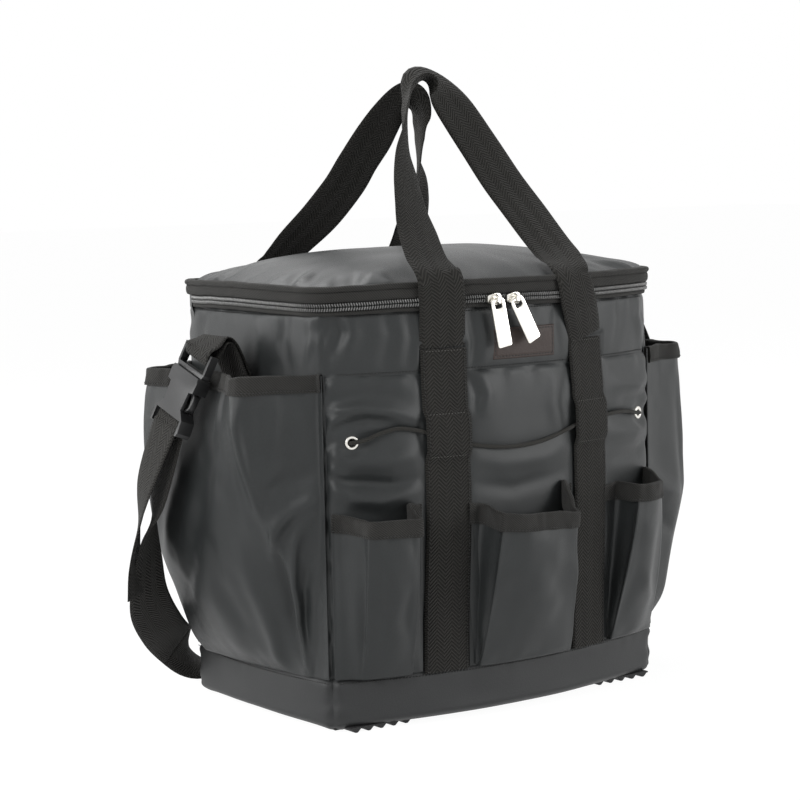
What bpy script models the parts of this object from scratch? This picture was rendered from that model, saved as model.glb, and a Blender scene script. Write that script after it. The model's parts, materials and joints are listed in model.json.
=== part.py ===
"""Grooming bag for horse gear: a soft box with a zipped lid, pockets, webbing handles and a shoulder strap.

Metres, +Z up, X across the front, the front faces -Y, and the origin is on the floor under the middle.
"""
import math

import bmesh
import bpy
from mathutils import Matrix, Vector

# Body: four panels between four upright corner seams
WIDTH = 0.320            # between the corner seams of the front
DEPTH = 0.195            # between the corner seams of a side
RIM_Z = 0.3166           # top of the panels, where the zip starts
SEAM_Z = 0.041           # seam between the base band and the panels
YOKE_Z = RIM_Z * 0.8497  # sewn seam across the front, under the name patch
FRONT_SAG_BASE = 0.030   # how far the front bulges past its corner seams, low down
FRONT_SAG_TOP = 0.035
BACK_SAG = 0.012
SIDE_SAG = 0.010
WALL = 0.0025            # outer cloth with its foam
GAP = 0.0003             # between pieces that touch
BAND_PROUD = 0.0005
BASE_ROUND = 0.006       # how far the base band draws in under the bag

# Floor and inside
FOOT_TALL = 0.0042
FOOT_LONG = 0.069
FOOT_WIDE = 0.022
FOOT_BACKING = 0.0014
FOOT_RIBS = 5
RIB_PITCH = 0.0116
RIB_CREST = 0.0022
FOOT_INSET_X = 0.045     # from the corner seam to the middle of a foot
FOOT_INSET_Y = 0.0065    # from the wall to the near side of a foot
BASE_CLOTH = 0.0025
BOARD = 0.0030
BOARD_INSET = 0.004
LINING = 0.0010

# Zip and lid, as outward offsets from the panels and heights
TAPE_OUT = 0.0040
TAPE_IN = -0.0022
TAPE_TALL = 0.0038
COIL_TALL = 0.0017
COIL_DEEP = 0.0026
UPPER_TAPE_TALL = 0.0026
LID_BAND_OUT = 0.0045
LID_BAND_TALL = 0.0058
BINDING_OUT = 0.0055
BINDING_DEEP = 0.0045
BINDING_TALL = 0.0034
CORNER_CUT = 0.024       # how much of each side the round rim corners take
LID_CROWN = 0.0160
LID_CLOTH = 0.0016

# Webbing
WEB = 0.038
WEB_THICK = 0.0018
STRAP_X = WIDTH * 0.2206 # middle of each handle strap on the front and the back
STRAP_FOOT_Z = SEAM_Z + 0.0006
STITCH_Z = RIM_Z * 0.9097   # last stitch line: above it the strap is free
TUNNEL_LOW = RIM_Z * 0.6538  # between these two stitch lines the cord runs under the strap
TUNNEL_HIGH = RIM_Z * 0.7486
STRAP_OFF_RIM = 0.0065   # free strap to the lid's binding
KNEE_OVER_RIM = 0.0259
KNEE_Z = RIM_Z + KNEE_OVER_RIM   # where a free strap bends in over the lid
LOOP_TALL = 0.1480       # from there up to the middle of the front handle's grip

# Front pockets
POCKET_MOUTH_Z = RIM_Z * 0.5275
POCKET_OUT = 0.028       # how far the mouth stands off the panel
POCKET_OUT_FOOT = 0.006
POCKET_CLOTH = 0.0011
FLANGE = 0.0030          # seam allowance, flat on the panel
TRIM_TALL = 0.0120       # twill binding of a pocket mouth
TRIM_THICK = 0.0007
TRIM_ROOM = 0.00035      # between the binding and the cloth inside it

# Side pockets
SIDE_MOUTH_Z = RIM_Z * 0.8591
SIDE_CREASE_Y = -DEPTH * 0.359
SIDE_BACK_CREASE_Y = DEPTH * 0.323
SIDE_REACH = 0.0640      # how far a pocket stands out past the corner seams at most

# Elastic cord on the front
CORD = 0.0032
EYELET_X = WIDTH * 0.4422
EYELET_Z = RIM_Z * 0.6949
EYELET_HOLE = 0.0052
EYELET_OUTER = 0.0110
EYELET_THICK = 0.0012
KNOT = 0.0040            # radius of the knot behind each eyelet

# Name patch
PATCH_WIDE = 0.060
PATCH_TALL = 0.024
PATCH_THICK = 0.0016
PATCH_X = WIDTH * 0.0075
PATCH_Z = RIM_Z * 0.9097

# Zip sliders
SLIDER_X = (-WIDTH * 0.0938, -WIDTH * 0.0391)
PULL_LEAN = (math.radians(19), math.radians(28))
SLIDER_LONG = 0.0120
SLIDER_TALL = 0.0090
SLIDER_THICK = 0.0024
HOOP_WIRE = 0.0012
HOOP_REACH = 0.0056
HOOP_TALL = 0.0072
PULL_LONG = 0.038
PULL_WIDE = 0.0125
PULL_THICK = 0.0014
PULL_BAR = 0.0012        # bar over the pull's window, which hangs in the hoop
PULL_WINDOW = (0.0068, 0.0072)
PULL_TOP_ROUND = 0.0042
PULL_FOOT_ROUND = 0.0016

# Side release buckle: lengths along it from the webbing bar
BUCKLE_OUT = 0.0530      # from the side panel's corner seams to the male half's bar
BUCKLE_BAR = Vector((-WIDTH / 2 - BUCKLE_OUT, -DEPTH * 0.0462, RIM_Z * 0.9002))
BUCKLE_LEAN = math.radians(20)
BUCKLE_SWING = math.radians(15)
BUCKLE_WIDE = 0.048
BUCKLE_THICK = 0.0118
MALE_TOP = -0.005
MALE_FOOT = 0.0140
FEMALE_FOOT = 0.0610
FEMALE_BAR = 0.0530
WINDOW_START = 0.0265
WINDOW_END = 0.0430
HOUSING_WALL = 0.0015
ARM_WIDE = 0.0036
ARM_THICK = 0.0050
ARM_TIP = 0.0420
BAR_RADIUS = 0.0018
WRAP = BAR_RADIUS + 0.0004 + WEB_THICK / 2   # middle of the webbing where it turns round a bar

CLOTH = (0.055, 0.058, 0.060)
BAND_CLOTH = (0.048, 0.048, 0.048)
TWILL = (0.035, 0.034, 0.032)
NICKEL = (0.75, 0.73, 0.68)
LEATHER = (0.070, 0.045, 0.038)
PLASTIC = (0.030, 0.030, 0.031)
RUBBER = (0.050, 0.050, 0.052)
LINING_CLOTH = (0.090, 0.092, 0.095)
BOARD_GREY = (0.180, 0.180, 0.180)


def clear_scene():
    for old in list(bpy.data.objects):
        bpy.data.objects.remove(old, do_unlink=True)


def new_collection(name):
    group = bpy.data.collections.new(name)
    bpy.context.scene.collection.children.link(group)
    return group


def material(name, colour, roughness, metallic=0.0):
    found = bpy.data.materials.new(name)
    found.use_nodes = True
    shader = found.node_tree.nodes["Principled BSDF"]
    shader.inputs["Base Color"].default_value = (*colour, 1.0)
    shader.inputs["Roughness"].default_value = roughness
    shader.inputs["Metallic"].default_value = metallic
    found.diffuse_color = (*colour, 1.0)
    return found


def add_object(name, mesh, look, group=None):
    """Puts a mesh in the bag's collection with a material of its own."""
    made = bpy.data.objects.new(name, mesh)
    mesh.materials.append(material(name, *look))
    (group or BAG).objects.link(made)
    return made


def from_bmesh(name, bm, look):
    """Makes an object of a closed bmesh, every face turned outwards, also on a twisted strip."""
    bmesh.ops.recalc_face_normals(bm, faces=bm.faces)
    if bm.calc_volume(signed=True) < 0:
        bmesh.ops.reverse_faces(bm, faces=bm.faces)
    mesh = bpy.data.meshes.new(name)
    bm.to_mesh(mesh)
    bm.free()
    return add_object(name, mesh, look)


def smooth(made, angle=35):
    made.data.shade_smooth()
    made.data.set_sharp_from_angle(angle=math.radians(angle))
    return made


def skin(bm, low, high, sheet=False):
    """Faces between two closed rings. The rings of a sheet run out along one side and back along the other:
    both sides are cut along the same diagonals, so that a thin twisted sheet doesn't pass through itself."""
    count = len(low)
    for i in range(count):
        j = (i + 1) % count
        if not sheet:
            bm.faces.new((low[i], low[j], high[j], high[i]))
        elif i < count // 2:
            bm.faces.new((low[i], low[j], high[j]))
            bm.faces.new((low[i], high[j], high[i]))
        else:
            bm.faces.new((low[i], low[j], high[i]))
            bm.faces.new((low[j], high[j], high[i]))


def loft(name, rings, look, loop=False, sheet=False):
    """Skins closed rings of equal count, with a face on each end unless the rings form a loop."""
    bm = bmesh.new()
    rows = [[bm.verts.new(p) for p in ring] for ring in rings]
    pairs = list(zip(rows, rows[1:]))
    if loop:
        pairs.append((rows[-1], rows[0]))
    for low, high in pairs:
        skin(bm, low, high, sheet)
    if not loop:
        bm.faces.new(list(reversed(rows[0])))
        bm.faces.new(rows[-1])
    return smooth(from_bmesh(name, bm, look))


def wall(name, outer, inner, look):
    """Fills the space between two matching grids of points: a panel whose ends are cut to a mitre."""
    rings = [list(front) + list(reversed(back)) for front, back in zip(outer, inner)]
    bm = bmesh.new()
    rows = [[bm.verts.new(p) for p in ring] for ring in rings]
    count = len(rows[0])
    half = count // 2
    for low, high in zip(rows, rows[1:]):
        skin(bm, low, high, sheet=True)
    for row in (rows[0], rows[-1]):
        for i in range(half - 1):
            bm.faces.new((row[i], row[i + 1], row[count - 2 - i], row[count - 1 - i]))
    return smooth(from_bmesh(name, bm, look))


def beside(row, distance):
    """A level moved sideways in plan, square to itself, with mitred corners; left of its way is inwards."""
    moved = []
    for i, point in enumerate(row):
        back = (point - row[max(i - 1, 0)]).xy
        ahead = (row[min(i + 1, len(row) - 1)] - point).xy
        first = (back if back.length > 1e-9 else ahead).normalized()
        last = (ahead if ahead.length > 1e-9 else back).normalized()
        mid = (first + last).normalized()
        reach = distance / max(mid.dot(first), 0.35)
        moved.append(point + Vector((mid.y * reach, -mid.x * reach, 0)))
    return moved


def cloth(name, rows, thickness, look):
    """An open grid of points given a thickness on its outer side."""
    return wall(name, [beside(row, thickness) for row in rows], rows, look)


def through(points, steps):
    """A smooth curve through the points, with that many steps between neighbours."""
    ends = [2 * points[0] - points[1]] + list(points) + [2 * points[-1] - points[-2]]
    curve = []
    for a, b, c, d in zip(ends, ends[1:], ends[2:], ends[3:]):
        for k in range(steps):
            t = k / steps
            curve.append(
                0.5 * ((2 * b) + (c - a) * t + (2 * a - 5 * b + 4 * c - d) * t ** 2
                       + (3 * b - a - 3 * c + d) * t ** 3))
    curve.append(points[-1].copy())
    return curve


def ribbon_rings(path, across, wide=WEB, thick=WEB_THICK, level=False):
    """Flat rings along a path: across says which way the width runs. Level keeps both ends horizontal."""
    rings = []
    for i, point in enumerate(path):
        ahead = path[min(i + 1, len(path) - 1)] - path[max(i - 1, 0)]
        ahead.normalize()
        if level and i in (0, len(path) - 1):
            ahead = Vector((0, 0, 1 if ahead.z > 0 else -1))
        side = (across[i] - ahead * across[i].dot(ahead)).normalized()
        face = ahead.cross(side).normalized()
        s, f = side * wide / 2, face * thick / 2
        rings.append([point - s - f, point + s - f, point + s + f, point - s + f])
    return rings


def ribbon(name, path, across, look, wide=WEB, thick=WEB_THICK, level=False):
    return loft(name, ribbon_rings(path, across, wide, thick, level), look, sheet=True)


def tube(name, path, radii, look, sides=3):
    """A round cord along a path, as a curve with a bevel; radii are shares of the cord's own."""
    curve = bpy.data.curves.new(name, "CURVE")
    curve.dimensions = "3D"
    curve.bevel_depth = CORD / 2
    curve.bevel_resolution = sides - 1
    curve.use_fill_caps = True
    spline = curve.splines.new("POLY")
    spline.points.add(len(path) - 1)
    for point, place, share in zip(spline.points, path, radii):
        point.co = (*place, 1.0)
        point.radius = share
    curve.materials.append(material(name, *look))
    made = bpy.data.objects.new(name, curve)
    BAG.objects.link(made)
    return made


def sag_offset(t, half, sag):
    """How far a round wall stands past its chord at t from -1 to 1."""
    radius = (half * half + sag * sag) / (2 * sag)
    return math.sqrt(radius * radius - (t * half) ** 2) - (radius - sag)


def front_sag(z):
    share = (z - SEAM_Z) / (RIM_Z - SEAM_Z)
    return FRONT_SAG_BASE + (FRONT_SAG_TOP - FRONT_SAG_BASE) * min(max(share, 0.0), 1.0)


SIDES = ("front", "right", "back", "left")


def side_point(side, t, z, out=0.0):
    """A point on a wall: t runs -1 to 1 anticlockwise seen from above, out is past the outer cloth."""
    half_w = WIDTH / 2 + out
    half_d = DEPTH / 2 + out
    if side == "front":
        return Vector((t * half_w, -half_d - sag_offset(t, half_w, front_sag(z)), z))
    if side == "back":
        return Vector((-t * half_w, half_d + sag_offset(t, half_w, BACK_SAG), z))
    if side == "right":
        return Vector((half_w + sag_offset(t, half_d, SIDE_SAG), t * half_d, z))
    return Vector((-half_w - sag_offset(t, half_d, SIDE_SAG), -t * half_d, z))


def front_y(x, z, out=0.0):
    return side_point("front", x / (WIDTH / 2 + out), z, out).y


def back_y(x, z, out=0.0):
    return side_point("back", x / (WIDTH / 2 + out), z, out).y


def side_x(y, z, out=0.0):
    return side_point("right", y / (DEPTH / 2 + out), z, out).x


WALL_STEPS = {"front": 14, "back": 8, "left": 8, "right": 8}


def run_of_wall(side, z, out, trim):
    """Points along one wall, its ends drawn in by trim for the gap at the corner seams."""
    steps = WALL_STEPS[side]
    half = (WIDTH if side in ("front", "back") else DEPTH) / 2 + out
    end = 1 - trim / half
    return [side_point(side, -end + 2 * end * k / steps, z, out) for k in range(steps + 1)]


def mitred_panel(name, side, levels, look):
    """A wall panel from levels of (height, outer offset, inner offset)."""
    outer = [run_of_wall(side, z, out, GAP * 0.75) for z, out, _ in levels]
    inner = [run_of_wall(side, z, into, GAP * 0.75) for z, _, into in levels]
    return wall(name, outer, inner, look)


def make_panels():
    low, high = SEAM_Z + GAP / 2, RIM_Z - GAP
    plain = [(low, 0, -WALL), ((low + high) / 2, 0, -WALL), (high, 0, -WALL)]
    front = mitred_panel("front_panel", "front", [(low, 0, -WALL), (YOKE_Z - GAP / 2, 0, -WALL)], (CLOTH, 0.5))
    mitred_panel("front_yoke", "front", [(YOKE_Z + GAP / 2, 0, -WALL), (high, 0, -WALL)], (CLOTH, 0.5))
    mitred_panel("back_panel", "back", plain, (CLOTH, 0.5))
    mitred_panel("left_side_panel", "left", plain, (CLOTH, 0.5))
    mitred_panel("right_side_panel", "right", plain, (CLOTH, 0.5))
    for sign in (-1, 1):
        cut_round_hole(front, eyelet_place(sign), EYELET_HOLE / 2 + 0.0009)


def make_base_bands():
    floor = FOOT_TALL + GAP
    levels = [
        (floor, -BASE_ROUND, -BASE_ROUND - WALL),
        (floor + 0.0016, -BASE_ROUND * 0.42, -BASE_ROUND * 0.42 - WALL),
        (floor + 0.0060, BAND_PROUD, -WALL),
        (SEAM_Z - GAP / 2, BAND_PROUD, -WALL),
    ]
    for side in SIDES:
        mitred_panel(f"{side}_base_band", side, levels, (BAND_CLOTH, 0.8))


def outline(out, z):
    """The whole way round, corner to corner."""
    points = []
    for side in SIDES:
        points += run_of_wall(side, z, out, 0.0)[:-1]
    return points


def make_floor():
    low = FOOT_TALL + GAP
    inset = -BASE_ROUND - WALL - GAP * 1.5
    high = low + BASE_CLOTH
    loft("base_panel", [outline(inset, low), outline(inset, high)], (BAND_CLOTH, 0.8))
    board = high + GAP
    inset = -WALL - BOARD_INSET
    loft("base_board", [outline(inset, board), outline(inset, board + BOARD)], (BOARD_GREY, 0.7))
    skin = board + BOARD + GAP
    out = -WALL - GAP * 1.5
    rings = [outline(out, skin), outline(out, SEAM_Z), outline(out, RIM_Z - GAP * 2),
             outline(out - LINING, RIM_Z - GAP * 2), outline(out - LINING, SEAM_Z),
             outline(out - LINING, skin + LINING)]
    lining = loft("inner_lining", rings, (LINING_CLOTH, 0.7))
    for sign in (-1, 1):
        cut_round_hole(lining, eyelet_place(sign), EYELET_HOLE / 2 + 0.0009)


def rib_profile():
    """Outline of a foot seen from the front: a flat backing with round ribs below it."""
    start = -FOOT_LONG / 2
    points = [(start, FOOT_TALL), (start, FOOT_TALL - FOOT_BACKING)]
    drop = FOOT_TALL - FOOT_BACKING
    for rib in range(FOOT_RIBS):
        middle = start + RIB_PITCH * (rib + 0.5)
        for share, low in ((-0.36, 1.0), (-0.22, 0.45), (-0.5 * RIB_CREST / RIB_PITCH, 0.0),
                           (0.5 * RIB_CREST / RIB_PITCH, 0.0), (0.22, 0.45), (0.36, 1.0)):
            points.append((middle + share * RIB_PITCH, drop * low))
    end = FOOT_LONG / 2
    points += [(end, drop * 0.8), (end, FOOT_TALL)]
    return points


def make_feet():
    for end, wall_y, sign_y in (("front", front_y, -1), ("back", back_y, 1)):
        for side, sign_x in (("left", -1), ("right", 1)):
            x = sign_x * (WIDTH / 2 - FOOT_INSET_X)
            middle = Vector((x, wall_y(x, 0) - sign_y * (FOOT_INSET_Y + FOOT_WIDE / 2), 0))
            rings = []
            for y in (-FOOT_WIDE / 2, FOOT_WIDE / 2):
                rings.append([middle + Vector((-sign_x * x, y, z)) for x, z in rib_profile()])
            loft(f"{end}_{side}_foot", rings, (RUBBER, 0.6))


def rim(out, z, side_steps=8, corner_steps=5):
    """The rim seen from above, anticlockwise from the back left corner, with round corners."""
    points = []
    order = ("left", "front", "right", "back")
    runs = []
    for side in order:
        half = (WIDTH if side in ("front", "back") else DEPTH) / 2 + out
        end = 1 - CORNER_CUT / half
        runs.append([side_point(side, -end + 2 * end * k / side_steps, z, out) for k in range(side_steps + 1)])
    corners = [side_point(side, 1.0, z, out) for side in order]
    for i, run in enumerate(runs):
        points += run
        after = runs[(i + 1) % 4][0]
        for k in range(1, corner_steps):
            t = k / corner_steps
            points.append((1 - t) ** 2 * run[-1] + 2 * t * (1 - t) * corners[i] + t ** 2 * after)
    return points


FRONT_RUN_END = 3 * 9 + 2 * 4   # points of rim() up to the back right corner


def rim_bar(name, into, out, low, high, look, whole=False):
    """A bar of rectangular section round the rim: all of it, or only the zip's three sides."""
    inner_low, outer_low = rim(into, low), rim(out, low)
    inner_high, outer_high = rim(into, high), rim(out, high)
    count = len(inner_low) if whole else FRONT_RUN_END
    rings = [[inner_low[i], outer_low[i], outer_high[i], inner_high[i]] for i in range(count)]
    return loft(name, rings, look, loop=whole)


def zip_heights():
    """Heights of the zip's parts from the bottom up."""
    tape = RIM_Z + GAP * 0.5
    coil = tape + TAPE_TALL + GAP
    upper_coil = coil + COIL_TALL + GAP
    upper_tape = upper_coil + COIL_TALL + GAP
    band = upper_tape + UPPER_TAPE_TALL + GAP
    binding = band + LID_BAND_TALL + GAP
    return tape, coil, upper_coil, upper_tape, band, binding


def make_zip():
    tape, coil, upper_coil, upper_tape, _, _ = zip_heights()
    rim_bar("lower_zip_tape", TAPE_IN, TAPE_OUT, tape, tape + TAPE_TALL, (TWILL, 0.8))
    rim_bar("lower_zip_coil", TAPE_OUT - COIL_DEEP, TAPE_OUT, coil, coil + COIL_TALL, (PLASTIC, 0.4))
    rim_bar("upper_zip_coil", TAPE_OUT - COIL_DEEP, TAPE_OUT, upper_coil, upper_coil + COIL_TALL, (PLASTIC, 0.4))
    rim_bar("upper_zip_tape", TAPE_IN, TAPE_OUT, upper_tape, upper_tape + UPPER_TAPE_TALL, (TWILL, 0.8))


def hinge_line():
    """Where the cloth hinge of the lid bends: along X, at the back of the rim."""
    _, _, upper_coil, _, _, _ = zip_heights()
    return Vector((0.0, DEPTH / 2 + BACK_SAG + TAPE_OUT + 0.0012, upper_coil - GAP / 2))


def make_hinge_strip():
    """Cloth along the back that joins the body to the lid: it is sewn to the body and bends at its top."""
    top = hinge_line().z - GAP
    low = RIM_Z + GAP * 0.5
    run = rim(TAPE_OUT, low)[FRONT_RUN_END + 3:-3]
    run_in = rim(TAPE_IN, low)[FRONT_RUN_END + 3:-3]
    rings = []
    for inside, outside in zip(run_in, run):
        rings.append([inside, outside, outside + Vector((0, 0, top - low)), inside + Vector((0, 0, top - low))])
    loft("lid_hinge_strip", rings, (CLOTH, 0.6))


def dome(out, scale, z, crown):
    """A ring of the lid at a share of its size, raised towards the middle."""
    lift = crown * (1 - scale ** 2.6)
    return [Vector((p.x * scale, p.y * scale, z + lift)) for p in rim(out, z)]


LID_SHARES = (1.0, 0.91, 0.68, 0.36)


def dome_shell(name, out, z, crown, thickness, look):
    under = [dome(out, share, z, crown) for share in reversed(LID_SHARES)]
    over = [[p + Vector((0, 0, thickness)) for p in ring] for ring in reversed(under)]
    return loft(name, under + over, look)


def make_lid():
    _, _, _, _, band, binding = zip_heights()
    rim_bar("lid_band", 0.0, LID_BAND_OUT, band, band + LID_BAND_TALL, (TWILL, 0.8), whole=True)
    rim_bar("lid_binding", BINDING_OUT - BINDING_DEEP, BINDING_OUT, binding, binding + BINDING_TALL,
            (TWILL, 0.8), whole=True)
    edge = BINDING_OUT - BINDING_DEEP - GAP
    dome_shell("lid_top", edge, binding, LID_CROWN, LID_CLOTH, (CLOTH, 0.5))
    dome_shell("lid_lining", -GAP * 2, binding - LINING - GAP, LID_CROWN, LINING, (LINING_CLOTH, 0.7))


def bump(value, low, high, fade):
    """1 between low and high, fading to 0 outside."""
    rise = min(max((value - low) / fade + 1, 0.0), 1.0)
    fall = min(max((high - value) / fade + 1, 0.0), 1.0)
    return rise * fall


def sewn_strap(name, wall_y, x, sign, tunnel):
    """Handle webbing sewn up a wall, standing off it by the tunnel's height where the cord runs under it."""
    base = GAP + WEB_THICK / 2 + 0.0003
    heights = [STRAP_FOOT_Z, 0.08, 0.12, 0.16, TUNNEL_LOW - 0.008, TUNNEL_LOW, TUNNEL_LOW + 0.006,
               TUNNEL_HIGH - 0.006, TUNNEL_HIGH, TUNNEL_HIGH + 0.008, 0.262, STITCH_Z - WEB_THICK / 2 - GAP]
    rings = []
    for z in heights:
        lift = base + tunnel * bump(z, TUNNEL_LOW + 0.006, TUNNEL_HIGH - 0.006, 0.006)
        ring = []
        for face in (-1, 1):
            for k in (range(5) if face < 0 else reversed(range(5))):
                across = x + WEB * (k / 4 - 0.5)
                ring.append(Vector((across, wall_y(across, z) + sign * (lift + face * WEB_THICK / 2), z)))
        rings.append(ring)
    return loft(name, rings, (TWILL, 0.85))


def stitch_line(sign):
    """The axis at the top stitch line of the front (-1) or back (1) handle, where the free strap starts."""
    wall_y = front_y if sign < 0 else back_y
    return Vector((0, wall_y(STRAP_X - WEB * 0.45, STITCH_Z) + sign * (GAP * 2 + WEB_THICK / 2 + 0.0018), STITCH_Z))


def knee_line(sign):
    """The axis where the free strap bends in over the lid."""
    wall_y = front_y if sign < 0 else back_y
    clear = BINDING_OUT + STRAP_OFF_RIM + WEB_THICK / 2
    return Vector((0, wall_y(STRAP_X - WEB / 2, RIM_Z) + sign * clear, KNEE_Z))


def free_strap(name, sign, x, knee_x):
    """The short free strap between the last stitch line and the bend over the lid."""
    foot, knee = stitch_line(sign), knee_line(sign)
    start = Vector((x, foot.y, foot.z))
    end = Vector((knee_x, knee.y, knee.z - WEB_THICK / 2 - GAP))
    middle = (start + end) / 2 + Vector((0, sign * 0.0015, 0))
    path = through([start, middle, end], 4)
    return ribbon(name, path, [Vector((1, 0, 0))] * len(path), (TWILL, 0.85), level=True)


# Points of a handle: shares of the straps' place across, of half the depth, and of the loop's height
FRONT_LOOP = [
    (-1.041, -1.267, 0.064), (-1.020, -1.036, 0.206), (-0.970, -0.882, 0.334),
    (-0.907, -0.779, 0.443), (-0.793, -0.646, 0.571), (-0.666, -0.533, 0.693),
    (-0.503, -0.379, 0.821), (-0.312, -0.246, 0.936), (-0.042, -0.195, 1.000),
    (0.241, -0.221, 0.956), (0.439, -0.297, 0.821), (0.609, -0.421, 0.645),
    (0.737, -0.605, 0.449), (0.800, -0.769, 0.314), (0.836, -0.954, 0.179),
    (0.857, -1.200, 0.051),
]
BACK_LOOP = [
    (-0.907, 1.108, 0.091), (-0.807, 0.903, 0.213), (-0.708, 0.697, 0.361),
    (-0.595, 0.503, 0.537), (-0.439, 0.359, 0.713), (-0.255, 0.277, 0.861),
    (-0.014, 0.246, 0.929), (0.198, 0.272, 0.861), (0.354, 0.328, 0.713),
    (0.510, 0.462, 0.537), (0.680, 0.697, 0.361), (0.836, 0.923, 0.213),
    (0.921, 1.108, 0.091),
]
LOOP_KNEES = {-1: (-1.055 * STRAP_X, 0.864 * STRAP_X), 1: (-0.956 * STRAP_X, 0.956 * STRAP_X)}
TWIST_POWER = 1.5


def loop_path(sign):
    """Points and width directions of a handle: flat to the bag at its feet, turned a quarter at the grip."""
    left, right = LOOP_KNEES[sign]
    knee = knee_line(sign)
    inner = FRONT_LOOP if sign < 0 else BACK_LOOP
    points = [Vector((left, knee.y, knee.z))]
    points += [Vector((x * STRAP_X, y * DEPTH / 2, KNEE_Z + z * LOOP_TALL)) for x, y, z in inner]
    points.append(Vector((right, knee.y, knee.z)))
    path = through(points, 2)
    lengths = [0.0]
    for a, b in zip(path, path[1:]):
        lengths.append(lengths[-1] + (b - a).length)
    across = []
    for walked in lengths:
        share = walked / lengths[-1] * 2
        turned = share if share < 1 else 2 - share
        angle = math.pi / 2 * turned ** TWIST_POWER
        if share > 1:
            angle = math.pi - angle
        across.append(Vector((math.cos(angle), -sign * math.sin(angle), 0)))
    return path, across


def make_handles():
    for end, sign, wall_y in (("front", -1, front_y), ("back", 1, back_y)):
        for side, sign_x, knee_x in (("left", -1, LOOP_KNEES[sign][0]), ("right", 1, LOOP_KNEES[sign][1])):
            tunnel = CORD + GAP * 2 if sign < 0 else 0.0
            sewn_strap(f"{end}_{side}_sewn_strap", wall_y, sign_x * STRAP_X, sign, tunnel)
            free_strap(f"{end}_{side}_free_strap", sign, sign_x * STRAP_X, knee_x)
        path, across = loop_path(sign)
        ribbon(f"{end}_handle_loop", path[::-1], across[::-1], (TWILL, 0.85), level=True)


def eyelet_place(sign):
    x = sign * EYELET_X
    return Vector((x, front_y(x, EYELET_Z), EYELET_Z))


def wall_turn(place):
    """Turns +Z to face straight out of the front wall at a place."""
    slope = (front_y(place.x + 0.001, place.z) - front_y(place.x - 0.001, place.z)) / 0.002
    normal = Vector((slope, -1.0, 0.0)).normalized()
    return normal.to_track_quat("Z", "Y").to_matrix().to_4x4()


def cut_round_hole(target, place, radius):
    bm = bmesh.new()
    turn = Matrix.Translation(place) @ wall_turn(place)
    bmesh.ops.create_cone(bm, cap_ends=True, segments=16, radius1=radius, radius2=radius, depth=0.02, matrix=turn)
    mesh = bpy.data.meshes.new("eyelet_cutter")
    bm.to_mesh(mesh)
    bm.free()
    cutter = bpy.data.objects.new("eyelet_cutter", mesh)
    CUTTERS.objects.link(cutter)
    cutter.hide_render = True
    cutter.display_type = "WIRE"
    cut = target.modifiers.new("eyelet hole", "BOOLEAN")
    cut.object = cutter
    cut.operation = "DIFFERENCE"


def turned(name, profile, place, turn, look, steps=20):
    """A turned piece: radius and height pairs swept round an axis that turn points outwards."""
    mesh = bpy.data.meshes.new(name)
    bm = bmesh.new()
    verts = [bm.verts.new((r, 0, h)) for r, h in profile]
    for a, b in zip(verts, verts[1:] + verts[:1]):
        bm.edges.new((a, b))
    bmesh.ops.spin(bm, geom=bm.verts[:] + bm.edges[:], cent=(0, 0, 0), axis=(0, 0, 1),
                   angle=2 * math.pi, steps=steps, use_merge=True)
    bmesh.ops.recalc_face_normals(bm, faces=bm.faces)
    bm.to_mesh(mesh)
    bm.free()
    made = add_object(name, mesh, look)
    made.matrix_world = Matrix.Translation(place) @ turn
    return smooth(made)


def make_eyelets():
    inner, outer = EYELET_HOLE / 2, EYELET_OUTER / 2
    profile = [(inner, -WALL * 0.5), (inner + 0.0005, -WALL * 0.5), (inner + 0.0005, GAP), (outer, GAP),
               (outer - 0.0006, GAP + EYELET_THICK * 0.8), (inner + 0.0010, GAP + EYELET_THICK),
               (inner, GAP + EYELET_THICK * 0.4)]
    for side, sign in (("left", -1), ("right", 1)):
        place = eyelet_place(sign)
        turned(f"{side}_eyelet", profile, place, wall_turn(place), (NICKEL, 0.25, 1.0))


CORD_RUN = [  # shares: of the eyelets' place across, of their height, and of the cord's width off the panel
    (-0.940, 1.0114, 1.625), (-0.869, 1.0282, 1.375), (-0.770, 1.0409, 1.062), (-0.671, 1.0318, 0.812),
    (-0.594, 1.0182, 0.750), (-0.499, 0.9977, 0.750), (-0.396, 0.9750, 0.750), (-0.311, 0.9627, 0.812),
    (-0.155, 0.9491, 1.062), (0.000, 0.9477, 1.188), (0.155, 0.9591, 1.062), (0.311, 0.9818, 0.812),
    (0.396, 0.9955, 0.750), (0.499, 1.0068, 0.750), (0.608, 1.0136, 0.750), (0.707, 1.0182, 0.938),
    (0.834, 1.0173, 1.250), (0.933, 1.0068, 1.562),
]


def make_cord():
    ends = []
    for sign in (-1, 1):
        place = eyelet_place(sign)
        out = wall_turn(place) @ Vector((0, 0, 1))
        ends.append([place - out * 0.0136, place - out * 0.0122, place - out * 0.0096, place - out * 0.0068,
                     place - out * 0.0052, place + out * 0.0020])
    middle = []
    for across, up, off in CORD_RUN:
        x, z = across * EYELET_X, up * EYELET_Z
        middle.append(Vector((x, front_y(x, z) - off * CORD, z)))
    straight = ends[0] + middle + list(reversed(ends[1]))
    path = ends[0][:5] + through(straight[4:-4], 2)[1:-1] + list(reversed(ends[1][:5]))
    swell = KNOT / (CORD / 2)
    shares = [1.0] * len(path)
    for index, share in ((0, swell * 0.4), (1, swell * 0.8), (2, swell), (3, swell * 0.7), (4, 1.0)):
        shares[index] = share
        shares[-1 - index] = share
    tube("elastic_cord", path, shares, (TWILL, 0.7))


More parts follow.
